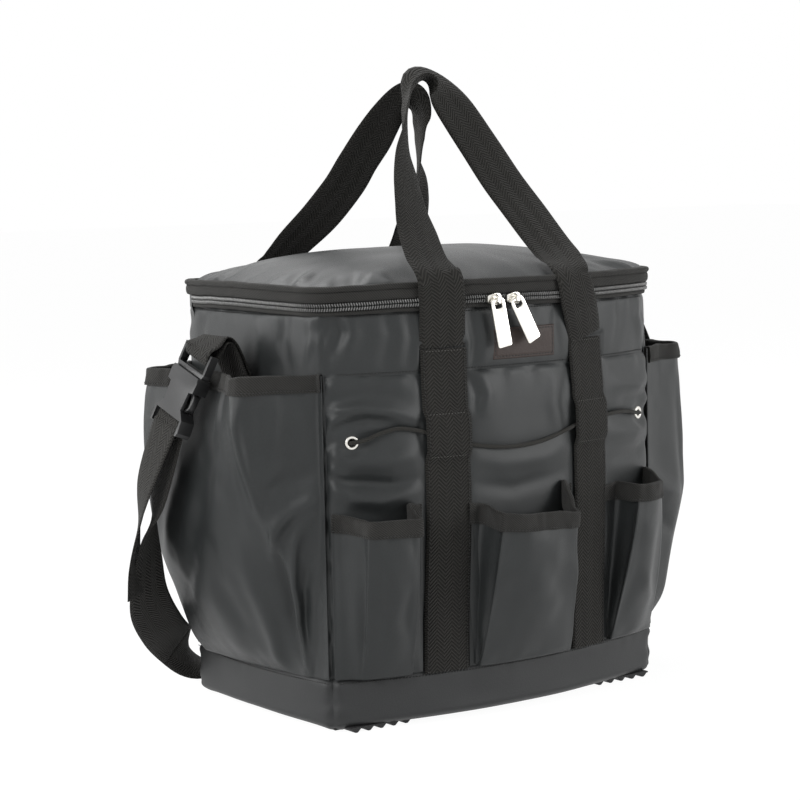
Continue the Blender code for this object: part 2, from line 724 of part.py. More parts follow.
def make_patch():
    rings = []
    half_z = PATCH_TALL / 2
    for z in (PATCH_Z - half_z, PATCH_Z + half_z):
        ring = []
        for back in (True, False):
            lift = GAP if back else GAP + PATCH_THICK
            steps = range(7) if back else reversed(range(7))
            for k in steps:
                x = PATCH_X + PATCH_WIDE * (k / 6 - 0.5)
                ring.append(Vector((x, front_y(x, z) - lift - 0.0003, z)))
        rings.append(ring)
    loft("name_patch", rings, (LEATHER, 0.6))


def pocket_row(x0, x1, crease0, crease1, z, stand, belly, dips):
    """One level of a front pocket: flange, gusset, front wall, gusset, flange, along the front panel."""
    skin = GAP * 2
    spread = crease1 - crease0
    left_fold = x0 + FLANGE + (crease0 - x0 - FLANGE) * 0.55
    right_fold = x1 - FLANGE + (crease1 - x1 + FLANGE) * 0.55
    here = [(x0, 0.0, 0.0), (x0 + FLANGE, 0.0, 0.0), (left_fold, stand * 0.50, dips[0] * 0.5)]
    here += [(crease0 - 0.0012, stand * 0.90, dips[0]), (crease0 + 0.0015, stand, dips[0])]
    for share in (0.25, 0.5, 0.75):
        dip = dips[0] + (dips[1] - dips[0]) * share
        here.append((crease0 + spread * share, stand + belly * math.sin(math.pi * share), dip))
    here += [(crease1 - 0.0015, stand, dips[1]), (crease1 + 0.0012, stand * 0.90, dips[1])]
    here += [(right_fold, stand * 0.50, dips[1] * 0.5), (x1 - FLANGE, 0.0, 0.0), (x1, 0.0, 0.0)]
    return [Vector((x, front_y(x, z) - skin - off, z - dip)) for x, off, dip in here]


def half_bag(share):
    return share * WIDTH / 2


FRONT_POCKETS = {  # edges, mouth creases, foot creases and how far the mouth dips at each crease
    "left": (-WIDTH / 2 + 0.0020, -STRAP_X - WEB / 2 - 0.0008,
             half_bag(-0.909), half_bag(-0.674), half_bag(-0.8875), half_bag(-0.646), (0.003, 0.004)),
    "centre": (-STRAP_X + WEB / 2 + 0.0008, STRAP_X - WEB / 2 - 0.0008,
               half_bag(-0.241), half_bag(0.2125), half_bag(-0.278), half_bag(0.273), (0.006, 0.011)),
    "right": (STRAP_X + WEB / 2 + 0.0008, WIDTH / 2 - 0.0020,
              half_bag(0.689), half_bag(0.903), half_bag(0.591), half_bag(0.9375), (0.0, 0.0)),
}


def front_pocket_rows(edges):
    """Levels of a front pocket from its foot to its mouth."""
    x0, x1, mouth0, mouth1, foot0, foot1, dips = edges
    start = SEAM_Z + 0.0008
    top = POCKET_MOUTH_Z - TRIM_ROOM - TRIM_THICK
    rows = []
    for share in (0.0, 0.1, 0.3, 0.6, 1 - TRIM_LEG / (top - start), 1.0):
        z = start + (top - start) * share
        opened = share * (1.6 - 0.6 * share)
        stand = POCKET_OUT_FOOT + (POCKET_OUT - POCKET_OUT_FOOT) * opened
        crease0 = foot0 + (mouth0 - foot0) * share
        crease1 = foot1 + (mouth1 - foot1) * share
        drop = [dip * share ** 2 for dip in dips]
        belly = 0.0025 * math.sin(math.pi * share) + 0.0008
        rows.append(pocket_row(x0, x1, crease0, crease1, z, stand, belly, drop))
    return rows


TRIM_LEG = TRIM_TALL - TRIM_ROOM - TRIM_THICK


def make_trim(name, low, top, thickness):
    """Twill tape folded over a pocket's mouth, a channel open downwards: low is the level its edges reach."""
    offsets = (-TRIM_ROOM, thickness + TRIM_ROOM, thickness + TRIM_ROOM + TRIM_THICK, -TRIM_ROOM - TRIM_THICK)
    edges = []
    for row in (low, top):
        path = [row[1].lerp(row[2], 0.35)] + row[2:-2] + [row[-2].lerp(row[-3], 0.35)]
        edges.append([beside(path, distance) for distance in offsets])
    up, over = Vector((0, 0, TRIM_ROOM)), Vector((0, 0, TRIM_ROOM + TRIM_THICK))
    rings = []
    for i in range(len(edges[0][0])):
        a, b, c, d = (edges[0][k][i] for k in range(4))
        e, f, g, h = (edges[1][k][i] for k in range(4))
        rings.append([a, e + up, f + up, b, c, g + over, h + over, d])
    loft(name, rings, (TWILL, 0.85))


def make_front_pockets():
    for side, edges in FRONT_POCKETS.items():
        rows = front_pocket_rows(edges)
        cloth(f"{side}_front_pocket", rows, POCKET_CLOTH, (CLOTH, 0.5))
        make_trim(f"{side}_pocket_trim", rows[-2], rows[-1], POCKET_CLOTH)


SIDE_PROFILE = {  # shares: of the height, and of the reach at the creases and between them
    "left": ((0.0, 0.125, 0.188), (0.08, 0.188, 0.344), (0.25, 0.266, 0.625), (0.45, 0.531, 0.844),
             (0.65, 0.844, 0.859), (0.83, 1.000, 0.781), (1.0, 0.922, 0.672)),
    "right": ((0.0, 0.281, 0.250), (0.08, 0.609, 0.531), (0.25, 0.797, 0.719), (0.45, 1.000, 0.875),
              (0.65, 1.016, 0.875), (0.83, 0.969, 0.781), (1.0, 0.922, 0.672)),
}


def graded(profile, share):
    """Reads the stand-offs of a profile at any share of the height."""
    for (low, *before), (high, *after) in zip(profile, profile[1:]):
        if share <= high:
            t = (share - low) / (high - low)
            return [a + (b - a) * t for a, b in zip(before, after)]
    return profile[-1][1:]


def side_pocket_row(sign, z, crease_out, middle_out):
    """One level of a side pocket, from corner seam to corner seam."""
    edge = DEPTH / 2 - 0.0015
    front, back = SIDE_CREASE_Y, SIDE_BACK_CREASE_Y
    front_fold, back_fold = (front - edge + FLANGE) / 2, (back + edge - FLANGE) / 2
    plan = [(-edge, 0.0), (-edge + FLANGE, 0.0), (front_fold, crease_out * 0.48)]
    plan += [(front - 0.0016, crease_out * 0.93), (front + 0.0016, crease_out)]
    for step in range(1, 7):
        hollow = math.sin(math.pi * step / 7) ** 1.2
        plan.append((front + (back - front) * step / 7, crease_out + (middle_out - crease_out) * hollow))
    plan += [(back - 0.0016, crease_out), (back + 0.0016, crease_out * 0.93)]
    plan += [(back_fold, crease_out * 0.48), (edge - FLANGE, 0.0), (edge, 0.0)]
    row = []
    for y, off in plan:
        clear = GAP * 2 + (0.001 if off else 0.0)
        row.append(Vector((sign * max(WIDTH / 2 + off, side_x(y, z) + clear), y, z)))
    return row if sign > 0 else list(reversed(row))


def make_side_pockets():
    start = SEAM_Z + 0.0008
    top = SIDE_MOUTH_Z - TRIM_ROOM - TRIM_THICK
    for side, sign in (("left", -1), ("right", 1)):
        rows = []
        for share in (0.0, 0.08, 0.25, 0.45, 0.65, 0.83, 1 - TRIM_LEG / (top - start), 1.0):
            stands = [part * SIDE_REACH for part in graded(SIDE_PROFILE[side], share)]
            rows.append(side_pocket_row(sign, start + (top - start) * share, *stands))
        cloth(f"{side}_side_pocket", rows, POCKET_CLOTH, (CLOTH, 0.5))
        make_trim(f"{side}_side_pocket_trim", rows[-2], rows[-1], POCKET_CLOTH)


def arc_centre():
    """Middle of the round front rim seen from above: the sliders turn about it as they run along the zip."""
    half = WIDTH / 2 + TAPE_OUT
    radius = (half ** 2 + FRONT_SAG_TOP ** 2) / (2 * FRONT_SAG_TOP)
    return Vector((0, -(DEPTH / 2 + TAPE_OUT) - FRONT_SAG_TOP + radius, 0)), radius


def slider_frame(x):
    """Place and turn of a slider on the zip: local X along the zip, local Y out of it."""
    centre, radius = arc_centre()
    angle = math.asin(x / radius)
    _, coil, upper_coil, _, _, _ = zip_heights()
    middle = (coil + upper_coil + COIL_TALL) / 2
    turn = Matrix.Rotation(angle, 4, "Z") @ Matrix.Rotation(math.pi, 4, "Z")
    place = Vector((centre.x + radius * math.sin(angle), centre.y - radius * math.cos(angle), middle))
    return Matrix.Translation(place) @ turn


def joined(first, others):
    """Fuses the others into the first, as one body."""
    for other in others:
        union = first.modifiers.new("join", "BOOLEAN")
        union.operation = "UNION"
        union.object = other
        CUTTERS.objects.link(other)
        BAG.objects.unlink(other)
        other.hide_render = True
        other.display_type = "WIRE"
    return first


def plate(name, points, low, high, frame, look):
    """A flat piece: an outline in local X and Z between two distances out."""
    rings = [[frame @ Vector((x, y, z)) for x, z in points] for y in (low, high)]
    return loft(name, rings, look)


def rounded_box(wide, tall, corner, steps=4, centre=(0.0, 0.0)):
    points = []
    for quarter in range(4):
        cx = (wide / 2 - corner) * (1 if quarter in (0, 3) else -1)
        cz = (tall / 2 - corner) * (1 if quarter in (0, 1) else -1)
        for k in range(steps + 1):
            angle = math.pi / 2 * (quarter + k / steps)
            points.append((centre[0] + cx + corner * math.cos(angle), centre[1] + cz + corner * math.sin(angle)))
    return points


def slider_outline():
    """A slider's top plate: broad where the two rows part, waisted to the tail."""
    long, tall = SLIDER_LONG, SLIDER_TALL
    half = [(-0.50, 0.30), (-0.38, 0.47), (-0.12, 0.50), (0.20, 0.38), (0.42, 0.34), (0.50, 0.24)]
    upper = [(x * long, z * tall) for x, z in half]
    return upper + [(x, -z) for x, z in reversed(upper)]


def hoop_pivot():
    """The pull's axis, out from the zip and above its middle."""
    return 0.0009 + SLIDER_THICK + HOOP_REACH - HOOP_WIRE * 2.6, 0.0


def make_slider(name, x):
    frame = slider_frame(x)
    out = 0.0009
    body = plate(name, slider_outline(), out, out + SLIDER_THICK, frame, (NICKEL, 0.3, 1.0))
    foot = out + SLIDER_THICK * 0.6
    reach, tall, wire = HOOP_REACH, HOOP_TALL, HOOP_WIRE
    outside = [(-tall / 2, foot), (-tall / 2, foot + reach * 0.55), (-tall * 0.28, out + SLIDER_THICK + reach),
               (tall * 0.28, out + SLIDER_THICK + reach), (tall / 2, foot + reach * 0.55), (tall / 2, foot)]
    inside = [(tall / 2 - wire, foot), (tall / 2 - wire, foot + reach * 0.5),
              (tall * 0.28 - wire * 0.4, out + SLIDER_THICK + reach - wire),
              (-tall * 0.28 + wire * 0.4, out + SLIDER_THICK + reach - wire),
              (-tall / 2 + wire, foot + reach * 0.5), (-tall / 2 + wire, foot)]
    rings = [[frame @ Vector((sx * wire * 0.8, y, z)) for z, y in outside + inside] for sx in (-1, 1)]
    hoop = loft(name + "_hoop", rings, (NICKEL, 0.3, 1.0))
    return joined(body, [hoop])


def pull_outline():
    """A pull's outline from its bar down: well rounded at the top, so that it clears the slider as it swings."""
    points = []
    top = PULL_BAR / 2
    rounds = ((1, PULL_TOP_ROUND, top), (-1, PULL_TOP_ROUND, top),
              (-1, PULL_FOOT_ROUND, top - PULL_LONG), (1, PULL_FOOT_ROUND, top - PULL_LONG))
    for quarter, (side, corner, edge) in enumerate(rounds):
        cx = side * (PULL_WIDE / 2 - corner)
        cz = edge - corner if quarter < 2 else edge + corner
        for k in range(5):
            angle = math.pi / 2 * (quarter + k / 4)
            points.append((cx + corner * math.cos(angle), cz + corner * math.sin(angle)))
    return points


def make_pull(name, x, lean):
    """A flat pull with a window near its top, whose upper bar passes through the slider's hoop."""
    frame = slider_frame(x)
    out, up = hoop_pivot()
    pivot = frame @ Vector((0, out, up))
    turn = frame.to_3x3().to_4x4()
    local = Matrix.Translation(pivot) @ turn @ Matrix.Rotation(lean, 4, "Y")
    bar = PULL_BAR
    window_wide, window_tall = PULL_WINDOW
    body = plate(name, pull_outline(), -PULL_THICK / 2, PULL_THICK / 2, local, (NICKEL, 0.25, 1.0))
    window = rounded_box(window_wide, window_tall, 0.0012, 2, (0, -bar / 2 - window_tall / 2))
    hole = plate(name + "_window", window, -0.004, 0.004, local, (NICKEL, 0.25, 1.0))
    return cut_by(body, [hole])


def make_sliders():
    for side, x, lean in (("left", SLIDER_X[0], PULL_LEAN[0]), ("right", SLIDER_X[1], PULL_LEAN[1])):
        make_slider(f"{side}_slider", x)
        make_pull(f"{side}_pull", x, lean)


def buckle_frame():
    """Local X across the buckle towards the back, Y along it downwards, Z out of its face."""
    base = Matrix(((0, 0, -1), (1, 0, 0), (0, -1, 0))).to_4x4()
    lean = Matrix.Rotation(BUCKLE_LEAN, 4, "Y")
    swing = Matrix.Rotation(-BUCKLE_SWING, 4, "Z")
    return Matrix.Translation(BUCKLE_BAR) @ lean @ base @ swing


def buckle_plate(name, points, low, high):
    """A piece of the buckle: an outline across and along it, between two depths."""
    frame = buckle_frame()
    rings = [[frame @ Vector((x, y, z)) for x, y in points] for z in (low, high)]
    return loft(name, rings, (PLASTIC, 0.4))


def buckle_block(name, x0, x1, y0, y1, z0, z1):
    return buckle_plate(name, [(x0, y0), (x1, y0), (x1, y1), (x0, y1)], z0, z1)


def webbing_bar(name, y):
    """A round bar across a buckle half at a length along it."""
    bm = bmesh.new()
    turn = buckle_frame() @ Matrix.Translation((0, y, 0)) @ Matrix.Rotation(math.pi / 2, 4, "Y")
    bmesh.ops.create_cone(bm, cap_ends=True, segments=12, radius1=BAR_RADIUS, radius2=BAR_RADIUS,
                          depth=WEB + 0.0050, matrix=turn)
    return smooth(from_bmesh(name, bm, (PLASTIC, 0.4)))


def cut_by(target, cutters):
    for cutter in cutters:
        BAG.objects.unlink(cutter)
        CUTTERS.objects.link(cutter)
        cutter.hide_render = True
        cutter.display_type = "WIRE"
        cut = target.modifiers.new("cut", "BOOLEAN")
        cut.operation = "DIFFERENCE"
        cut.object = cutter
    return target


def make_male_half():
    """The half on the bag's tab: two cheeks with the webbing bar, a plate, and a guide between the arms."""
    half = BUCKLE_WIDE / 2 - 0.0015
    slot = WEB / 2 + 0.0008
    thick = 0.0032
    body = buckle_plate("buckle_male_half", [
        (-half, MALE_TOP), (half, MALE_TOP), (half, MALE_FOOT * 0.75), (half - 0.002, MALE_FOOT),
        (-half + 0.002, MALE_FOOT), (-half, MALE_FOOT * 0.75)], -thick, thick)
    slot_hole = buckle_block("male_slot", -slot, slot, MALE_TOP - 0.002, MALE_FOOT - 0.0035, -0.01, 0.01)
    cut_by(body, [slot_hole])
    guide = buckle_plate("male_guide", [(-0.0035, MALE_FOOT - 0.001), (0.0035, MALE_FOOT - 0.001),
                                        (0.0022, ARM_TIP - 0.004), (-0.0022, ARM_TIP - 0.004)], -0.0018, 0.0018)
    return joined(body, [guide, webbing_bar("male_bar", 0.0)])


def arm_outline(sign):
    """A sprung arm: it leaves the plate straight, bows out through the housing's window and ends in a hook."""
    start = MALE_FOOT + GAP
    middle = [(0.0135, start), (0.0135, start + 0.006), (0.0150, WINDOW_START - 0.0010), (0.0184, WINDOW_START + 0.0030),
              (0.0196, WINDOW_START + 0.0075), (0.0185, WINDOW_END - 0.0045), (0.0150, ARM_TIP)]
    centre = through([Vector((x, y, 0)) for x, y in middle], 3)
    left, right = [], []
    for i, point in enumerate(centre):
        ahead = (centre[min(i + 1, len(centre) - 1)] - centre[max(i - 1, 0)]).normalized()
        share = i / (len(centre) - 1)
        wide = ARM_WIDE * (0.72 + 0.45 * math.sin(math.pi * min(share * 1.1, 1.0)))
        side = Vector((ahead.y, -ahead.x, 0)) * wide / 2
        left.append(point + side)
        right.append(point - side)
    return [(sign * p.x, p.y) for p in left + list(reversed(right))]


def make_arms():
    for side, sign in (("front", -1), ("back", 1)):
        buckle_plate(f"buckle_{side}_arm", arm_outline(sign), -ARM_THICK / 2, ARM_THICK / 2)


def female_outline():
    """The housing's face: broad mouth, waist at the windows, flared foot that takes the strap."""
    half = BUCKLE_WIDE / 2
    waist = 0.0160
    top = MALE_FOOT + GAP
    side = [(half - 0.0035, top), (half - 0.0018, top + 0.004), (half - 0.0024, WINDOW_START),
            (waist, WINDOW_START + 0.0008), (waist - 0.0012, WINDOW_END - 0.001),
            (half - 0.0016, WINDOW_END + 0.0055), (half, FEMALE_FOOT - 0.003), (half - 0.0014, FEMALE_FOOT)]
    return side + [(-x, y) for x, y in reversed(side)]


def make_female_half():
    """The half on the shoulder strap: a hollow housing with side windows over a bar that the webbing turns round."""
    half_t = BUCKLE_THICK / 2
    body = buckle_plate("buckle_female_half", female_outline(), -half_t, half_t)
    top = MALE_FOOT + GAP
    cavity_x, cavity_z = BUCKLE_WIDE / 2 - 0.0050, ARM_THICK / 2 + 0.0010
    cavity = buckle_block("female_cavity", -cavity_x, cavity_x, top - 0.002, WINDOW_END + 0.0005, -cavity_z, cavity_z)
    window = buckle_block("female_windows", -0.03, 0.03, WINDOW_START - 0.0002, WINDOW_END + 0.0005,
                          -cavity_z, cavity_z)
    slot = WEB / 2 + 0.0008
    tray = buckle_block("female_tray", -slot, slot, WINDOW_END + 0.0035, FEMALE_FOOT + 0.004,
                        -half_t - 0.002, half_t - HOUSING_WALL)
    lip = buckle_block("female_lip", -slot - 0.0004, slot + 0.0004, FEMALE_BAR - 0.0032, FEMALE_FOOT + 0.004,
                       half_t - HOUSING_WALL - 0.001, half_t + 0.002)
    cut_by(body, [cavity, window, tray, lip])
    return joined(body, [webbing_bar("female_bar", FEMALE_BAR)])


def along_buckle(x, y, z):
    return buckle_frame() @ Vector((x, y, z))


def make_tab():
    """Webbing loop sewn to the left side panel behind its pocket: it carries the buckle's male half."""
    frame = buckle_frame()
    across_buckle = frame.to_3x3() @ Vector((1, 0, 0))
    rise = Vector((0, 1, 0))
    tab_y = BUCKLE_BAR.y - 0.0020
    hold = BUCKLE_BAR.z
    span = BUCKLE_OUT / 0.053
    off = GAP * 2 + WEB_THICK / 2
    layer = WEB_THICK + 0.0010
    panel = side_x(tab_y, hold)
    wrap = WRAP
    outer = [
        (Vector((-panel - off - layer, tab_y, hold - 0.0530)), rise),
        (Vector((-panel - off - layer - 0.0005, tab_y, hold - 0.0350)), rise),
        (Vector((-panel - 0.0140 * span, tab_y, hold - 0.0090)), rise),
        (Vector((-panel - 0.0215 * span, tab_y, hold + 0.0075)), rise),
        (Vector((-panel - 0.0285 * span, tab_y + 0.0005, hold + 0.0135)), rise),
        (Vector((-panel - 0.0355 * span, tab_y + 0.001, hold + 0.0105)), (rise + across_buckle) / 2),
    ]
    turn = [
        (along_buckle(0, -0.0060, wrap + 0.0002), across_buckle),
        (along_buckle(0, -0.0005, wrap), across_buckle),
        (along_buckle(0, wrap * 0.75, wrap * 0.66), across_buckle),
        (along_buckle(0, wrap, 0), across_buckle),
        (along_buckle(0, wrap * 0.75, -wrap * 0.66), across_buckle),
        (along_buckle(0, -0.0005, -wrap), across_buckle),
    ]
    inner = [
        (Vector((-panel - 0.0330 * span, tab_y + 0.001, hold + 0.0060)), (rise + across_buckle) / 2),
        (Vector((-panel - 0.0280 * span, tab_y, hold + 0.0095)), rise),
        (Vector((-panel - 0.0235 * span, tab_y, hold + 0.0055)), rise),
        (Vector((-panel - 0.0165 * span, tab_y, hold - 0.0100)), rise),
        (Vector((-panel - off - layer * 2.0 - 0.0003, tab_y, hold - 0.0350)), rise),
        (Vector((-panel - off - layer * 2.0, tab_y, hold - 0.0530)), rise),
    ]
    places = outer + turn + inner
    path = through([place for place, _ in places], 2)
    across = through([way.normalized() for _, way in places], 2)
    ribbon("buckle_tab", path, across, (TWILL, 0.85), thick=WEB_THICK * 0.9)


STRAP_BEHIND = 0.0443    # from the back corner seams to the middle of the strap on the floor
STRAP_REACH = 0.1016     # how far it swings out at the right, past the corner seams


def around(out, back, up):
    """A point beside or behind the bag: shares of the strap's reach past the side, half the depth and the height."""
    x = math.copysign(WIDTH / 2, out) + out * STRAP_REACH if out else 0.0
    return Vector((x, back * DEPTH / 2, up * RIM_Z))


def on_floor(across, lift):
    """A point on the floor behind the bag, at a share of half its width."""
    return Vector((across * WIDTH / 2, DEPTH / 2 + STRAP_BEHIND, GAP + WEB_THICK / 2 + lift))


def strap_from_buckle():
    """Places and width directions from the tail's end, round the buckle's bar and down behind the bag."""
    across = buckle_frame().to_3x3() @ Vector((1, 0, 0))
    foot, bar = FEMALE_FOOT, FEMALE_BAR
    return [
        (around(-0.915, 0.328, 0.3127), Vector((0.55, 0.80, 0.05))),
        (around(-0.945, 0.318, 0.3948), Vector((0.50, 0.84, 0.08))),
        (around(-0.930, 0.287, 0.4896), Vector((0.40, 0.90, 0.12))),
        (around(-0.876, 0.226, 0.5875), Vector((0.20, 0.95, 0.22))),
        (along_buckle(0, foot + 0.0040, WRAP + 0.0010), across),
        (along_buckle(0, bar + 0.0030, WRAP), across),
        (along_buckle(0, bar - 0.0005, WRAP), across),
        (along_buckle(0, bar - WRAP * 0.75, WRAP * 0.66), across),
        (along_buckle(0, bar - WRAP, 0), across),
        (along_buckle(0, bar - WRAP * 0.75, -WRAP * 0.66), across),
        (along_buckle(0, bar - 0.0005, -WRAP), across),
        (along_buckle(0, bar + 0.0030, -WRAP), across),
        (along_buckle(0, foot + 0.0040, -WRAP - 0.0008), across),
        (around(-0.773, 0.205, 0.5527), Vector((0.20, 0.93, 0.30))),
        (around(-0.827, 0.318, 0.4169), Vector((0.45, 0.75, 0.48))),
        (around(-0.827, 0.482, 0.3032), Vector((0.35, 0.40, 0.85))),
        (around(-0.640, 0.800, 0.2021), Vector((0.15, 0.10, 0.98))),
    ]


def strap_behind():
    """The rest of the strap: over the floor behind the bag and up to where it is sewn on the right side."""
    tab_y = -DEPTH * 0.0256
    sewn_x = side_x(tab_y, SIDE_MOUTH_Z * 0.88) + GAP * 2 + WEB_THICK / 2 + 0.0004
    way = Vector((0, 1, 0))
    return [
        (around(-0.285, 1.147, 0.1311), Vector((0.05, 0.30, 0.95))),
        (on_floor(-0.925, 0.0168) - Vector((0, STRAP_BEHIND * 0.13, 0)), Vector((-0.10, 0.80, 0.55))),
        (on_floor(-0.675, 0.0040), way),
        (on_floor(-0.4375, 0.0), way),
        (on_floor(0.4375, 0.0), way),
        (on_floor(0.675, 0.0040), way),
        (on_floor(0.925, 0.0168) - Vector((0, STRAP_BEHIND * 0.13, 0)), Vector((0.10, 0.80, -0.55))),
        (around(0.295, 1.159, 0.1263), Vector((-0.05, 0.30, -0.95))),
        (around(0.699, 0.872, 0.2337), Vector((-0.15, 0.30, -0.90))),
        (around(0.961, 0.513, 0.3853), Vector((-0.20, 0.75, -0.55))),
        (around(1.0, 0.226, 0.5527), Vector((-0.05, 0.96, -0.15))),
        (around(0.837, 0.021, 0.7581), way),
        (around(0.620, -0.041, 0.8970), way),
        (around(0.472, -0.051, 0.9444), way),
        (around(0.354, -0.051, 0.9286), way),
        (Vector((sewn_x + 0.0080, tab_y, SIDE_MOUTH_Z)), way),
        (Vector((sewn_x, tab_y, SIDE_MOUTH_Z * 0.9118)), way),
        (Vector((sewn_x, tab_y, SIDE_MOUTH_Z * 0.8456)), way),
    ]


def above_floor(ring):
    """Lifts a ring of the strap that would sink into the floor."""
    low = min(point.z for point in ring)
    return [point + Vector((0, 0, max(0.0, GAP - low))) for point in ring]


def make_shoulder_strap():
    """One length of webbing, cut where the stretch that follows the buckle ends."""
    first, steps = strap_from_buckle(), 3
    places = first + strap_behind()
    path = through([place for place, _ in places], steps)
    ways = through([way.normalized() for _, way in places], steps)
    rings = [above_floor(ring) for ring in ribbon_rings(path, ways)]
    cut = len(first) * steps
    shift = (path[cut + 1] - path[cut]).normalized() * GAP
    start = [point + shift for point in rings[cut]]
    loft("shoulder_strap_end", rings[:cut + 1], (TWILL, 0.85), sheet=True)
    loft("shoulder_strap", [start] + rings[cut + 1:], (TWILL, 0.85), sheet=True)


BAG = None
CUTTERS = None


def main():
    global BAG, CUTTERS
    clear_scene()
    BAG = new_collection("grooming_bag")
    CUTTERS = new_collection("cutters")
    make_panels()
    make_base_bands()
    make_floor()
    make_feet()
    make_zip()
    make_hinge_strip()
    make_lid()
    make_handles()
    make_eyelets()
    make_cord()
    make_patch()
    make_front_pockets()
    make_side_pockets()
    make_sliders()
    make_male_half()
    make_arms()
    make_female_half()
    make_tab()
    make_shoulder_strap()


main()
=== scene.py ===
# %% [markdown]
# # A grooming bag for horse gear, dressed over its moving frame
#
# The CAD model of the bag is already in place: it says where every part is and how it moves. This lesson
# lays cloth, webbing, zip teeth and thread over it. Lengths are in metres, the front looks along -Y and +Z is up.

import json
import math

import bmesh
import bpy
import numpy as np
from mathutils import Matrix, Vector


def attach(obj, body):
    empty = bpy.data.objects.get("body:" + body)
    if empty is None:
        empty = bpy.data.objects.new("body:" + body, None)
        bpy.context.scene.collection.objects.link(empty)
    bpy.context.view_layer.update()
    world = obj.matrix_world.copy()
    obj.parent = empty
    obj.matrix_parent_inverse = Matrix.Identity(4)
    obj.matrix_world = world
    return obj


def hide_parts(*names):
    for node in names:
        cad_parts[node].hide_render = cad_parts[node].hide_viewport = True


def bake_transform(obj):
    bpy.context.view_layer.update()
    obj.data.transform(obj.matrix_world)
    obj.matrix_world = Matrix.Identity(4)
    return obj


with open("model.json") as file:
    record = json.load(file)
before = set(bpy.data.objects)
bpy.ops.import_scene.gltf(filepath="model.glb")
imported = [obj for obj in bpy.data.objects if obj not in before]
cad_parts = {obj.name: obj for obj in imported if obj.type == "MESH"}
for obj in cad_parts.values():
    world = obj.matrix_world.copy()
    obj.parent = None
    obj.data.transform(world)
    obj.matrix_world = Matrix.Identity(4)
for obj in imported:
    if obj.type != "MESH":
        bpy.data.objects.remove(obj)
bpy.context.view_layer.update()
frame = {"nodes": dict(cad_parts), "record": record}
print("nodes in the frame:", len(frame["nodes"]))

# %% [markdown]
# ## The camera
#
# The photograph was taken from the left of the bag with a long lens, a little above its middle. A camera is an
# object like any other: its place, three axes and a focal length are enough. The turns are written as angles,
# because a photographer would say it so: turned to the right, tipped down, rolled by a degree.

# %% Camera
turned, tipped, rolled = math.radians(35.56), math.radians(5.78), math.radians(-1.32)
stand = (-1.0916, -1.4973, 0.4219)
focal_in_pixels, picture_width, sensor_width = 2278.2, 800, 36.0

ahead = Vector((math.sin(turned) * math.cos(tipped), math.cos(turned) * math.cos(tipped), -math.sin(tipped)))
level = Vector((math.cos(turned), -math.sin(turned), 0))
upright = level.cross(ahead)
to_right = math.cos(rolled) * level + math.sin(rolled) * upright
to_top = math.cos(rolled) * upright - math.sin(rolled) * level

lens = bpy.data.cameras.new("photo camera")
lens.sensor_width = sensor_width
lens.lens = focal_in_pixels * sensor_width / picture_width
camera = bpy.data.objects.new("photo camera", lens)
bpy.context.scene.collection.objects.link(camera)
axes = np.array([to_right, to_top, -ahead]).T
camera.matrix_world = Matrix([(*axes[i], stand[i]) for i in range(3)] + [(0, 0, 0, 1)])
bpy.context.scene.camera = camera
print("focal length in mm:", round(lens.lens, 1))

# %% [markdown]
# ## Shader sums that read like Python
#
# A finish is a small sum: a weave times a depth, plus some mottling. In the node editor each step is a Math
# node, which is slow to read. Here one class stands for a socket and turns + - * / into Math nodes, with the
# reflected forms too, so that 1 - edge works. A wave of a given length is a sum of its own, because every weave
# below is made of waves.

# %% Sums of sockets
class Sum:
    """A socket that can be added, taken away, multiplied and divided."""

    def __init__(self, nodes, socket):
        self.nodes = nodes
        self.socket = socket

    def do(self, operation, *values):
        return self.nodes.node("ShaderNodeMath", {"operation": operation}, dict(enumerate(values)))

    def __add__(self, other):
        return self.do("ADD", self, other)

    def __radd__(self, other):
        return self.do("ADD", other, self)

    def __sub__(self, other):
        return self.do("SUBTRACT", self, other)

    def __rsub__(self, other):
        return self.do("SUBTRACT", other, self)

    def __mul__(self, other):
        return self.do("MULTIPLY", self, other)

    def __rmul__(self, other):
        return self.do("MULTIPLY", other, self)

    def __truediv__(self, other):
        return self.do("DIVIDE", self, other)

    def __rtruediv__(self, other):
        return self.do("DIVIDE", other, self)

    def sine(self):
        return self.do("SINE", self)

    def size(self):
        return self.do("ABSOLUTE", self)

    def part(self):
        return self.do("FRACT", self)

    def most(self, other):
        return self.do("MAXIMUM", self, other)

    def above(self, other):
        return self.do("GREATER_THAN", self, other)

    def wave(self, pitch):
        """A sine wave over a length, from one crest to the next in this many metres."""
        return (self * (2 * math.pi / pitch)).sine()


print("besides its operators a sum knows:", [name for name in vars(Sum) if not name.startswith("_")])

# %% [markdown]
# A node tree gets one method that adds any node from its type, its settings and the values of its sockets; the
# world uses it as well as the materials. A finish is a material whose constants stand on its shader, and only
# what changes over the surface is fed in. Each piece keeps its place in the flat cloth as an attribute, which is
# better than a UV map here: it is in metres, so a thread has one width on every piece.

# %% Node trees and finishes
class Nodes:
    """A node tree that is filled from code."""

    def __init__(self, tree):
        self.tree = tree

    def node(self, kind, settings=None, values=None, out=0):
        """Adds a node: its settings first, then the values or links of its sockets."""
        made = self.tree.nodes.new(kind)
        for key, value in (settings or {}).items():
            setattr(made, key, value)
        for key, value in (values or {}).items():
            if isinstance(value, Sum):
                self.tree.links.new(value.socket, made.inputs[key])
            elif isinstance(value, tuple) and len(value) == 3 and len(made.inputs[key].default_value) == 4:
                made.inputs[key].default_value = (*value, 1)
            else:
                made.inputs[key].default_value = value
        return Sum(self, made.outputs[out])

    def show(self, value, output):
        """Sends a shader to the output node of this name."""
        self.tree.links.new(value.socket, self.tree.nodes[output].inputs["Surface"])


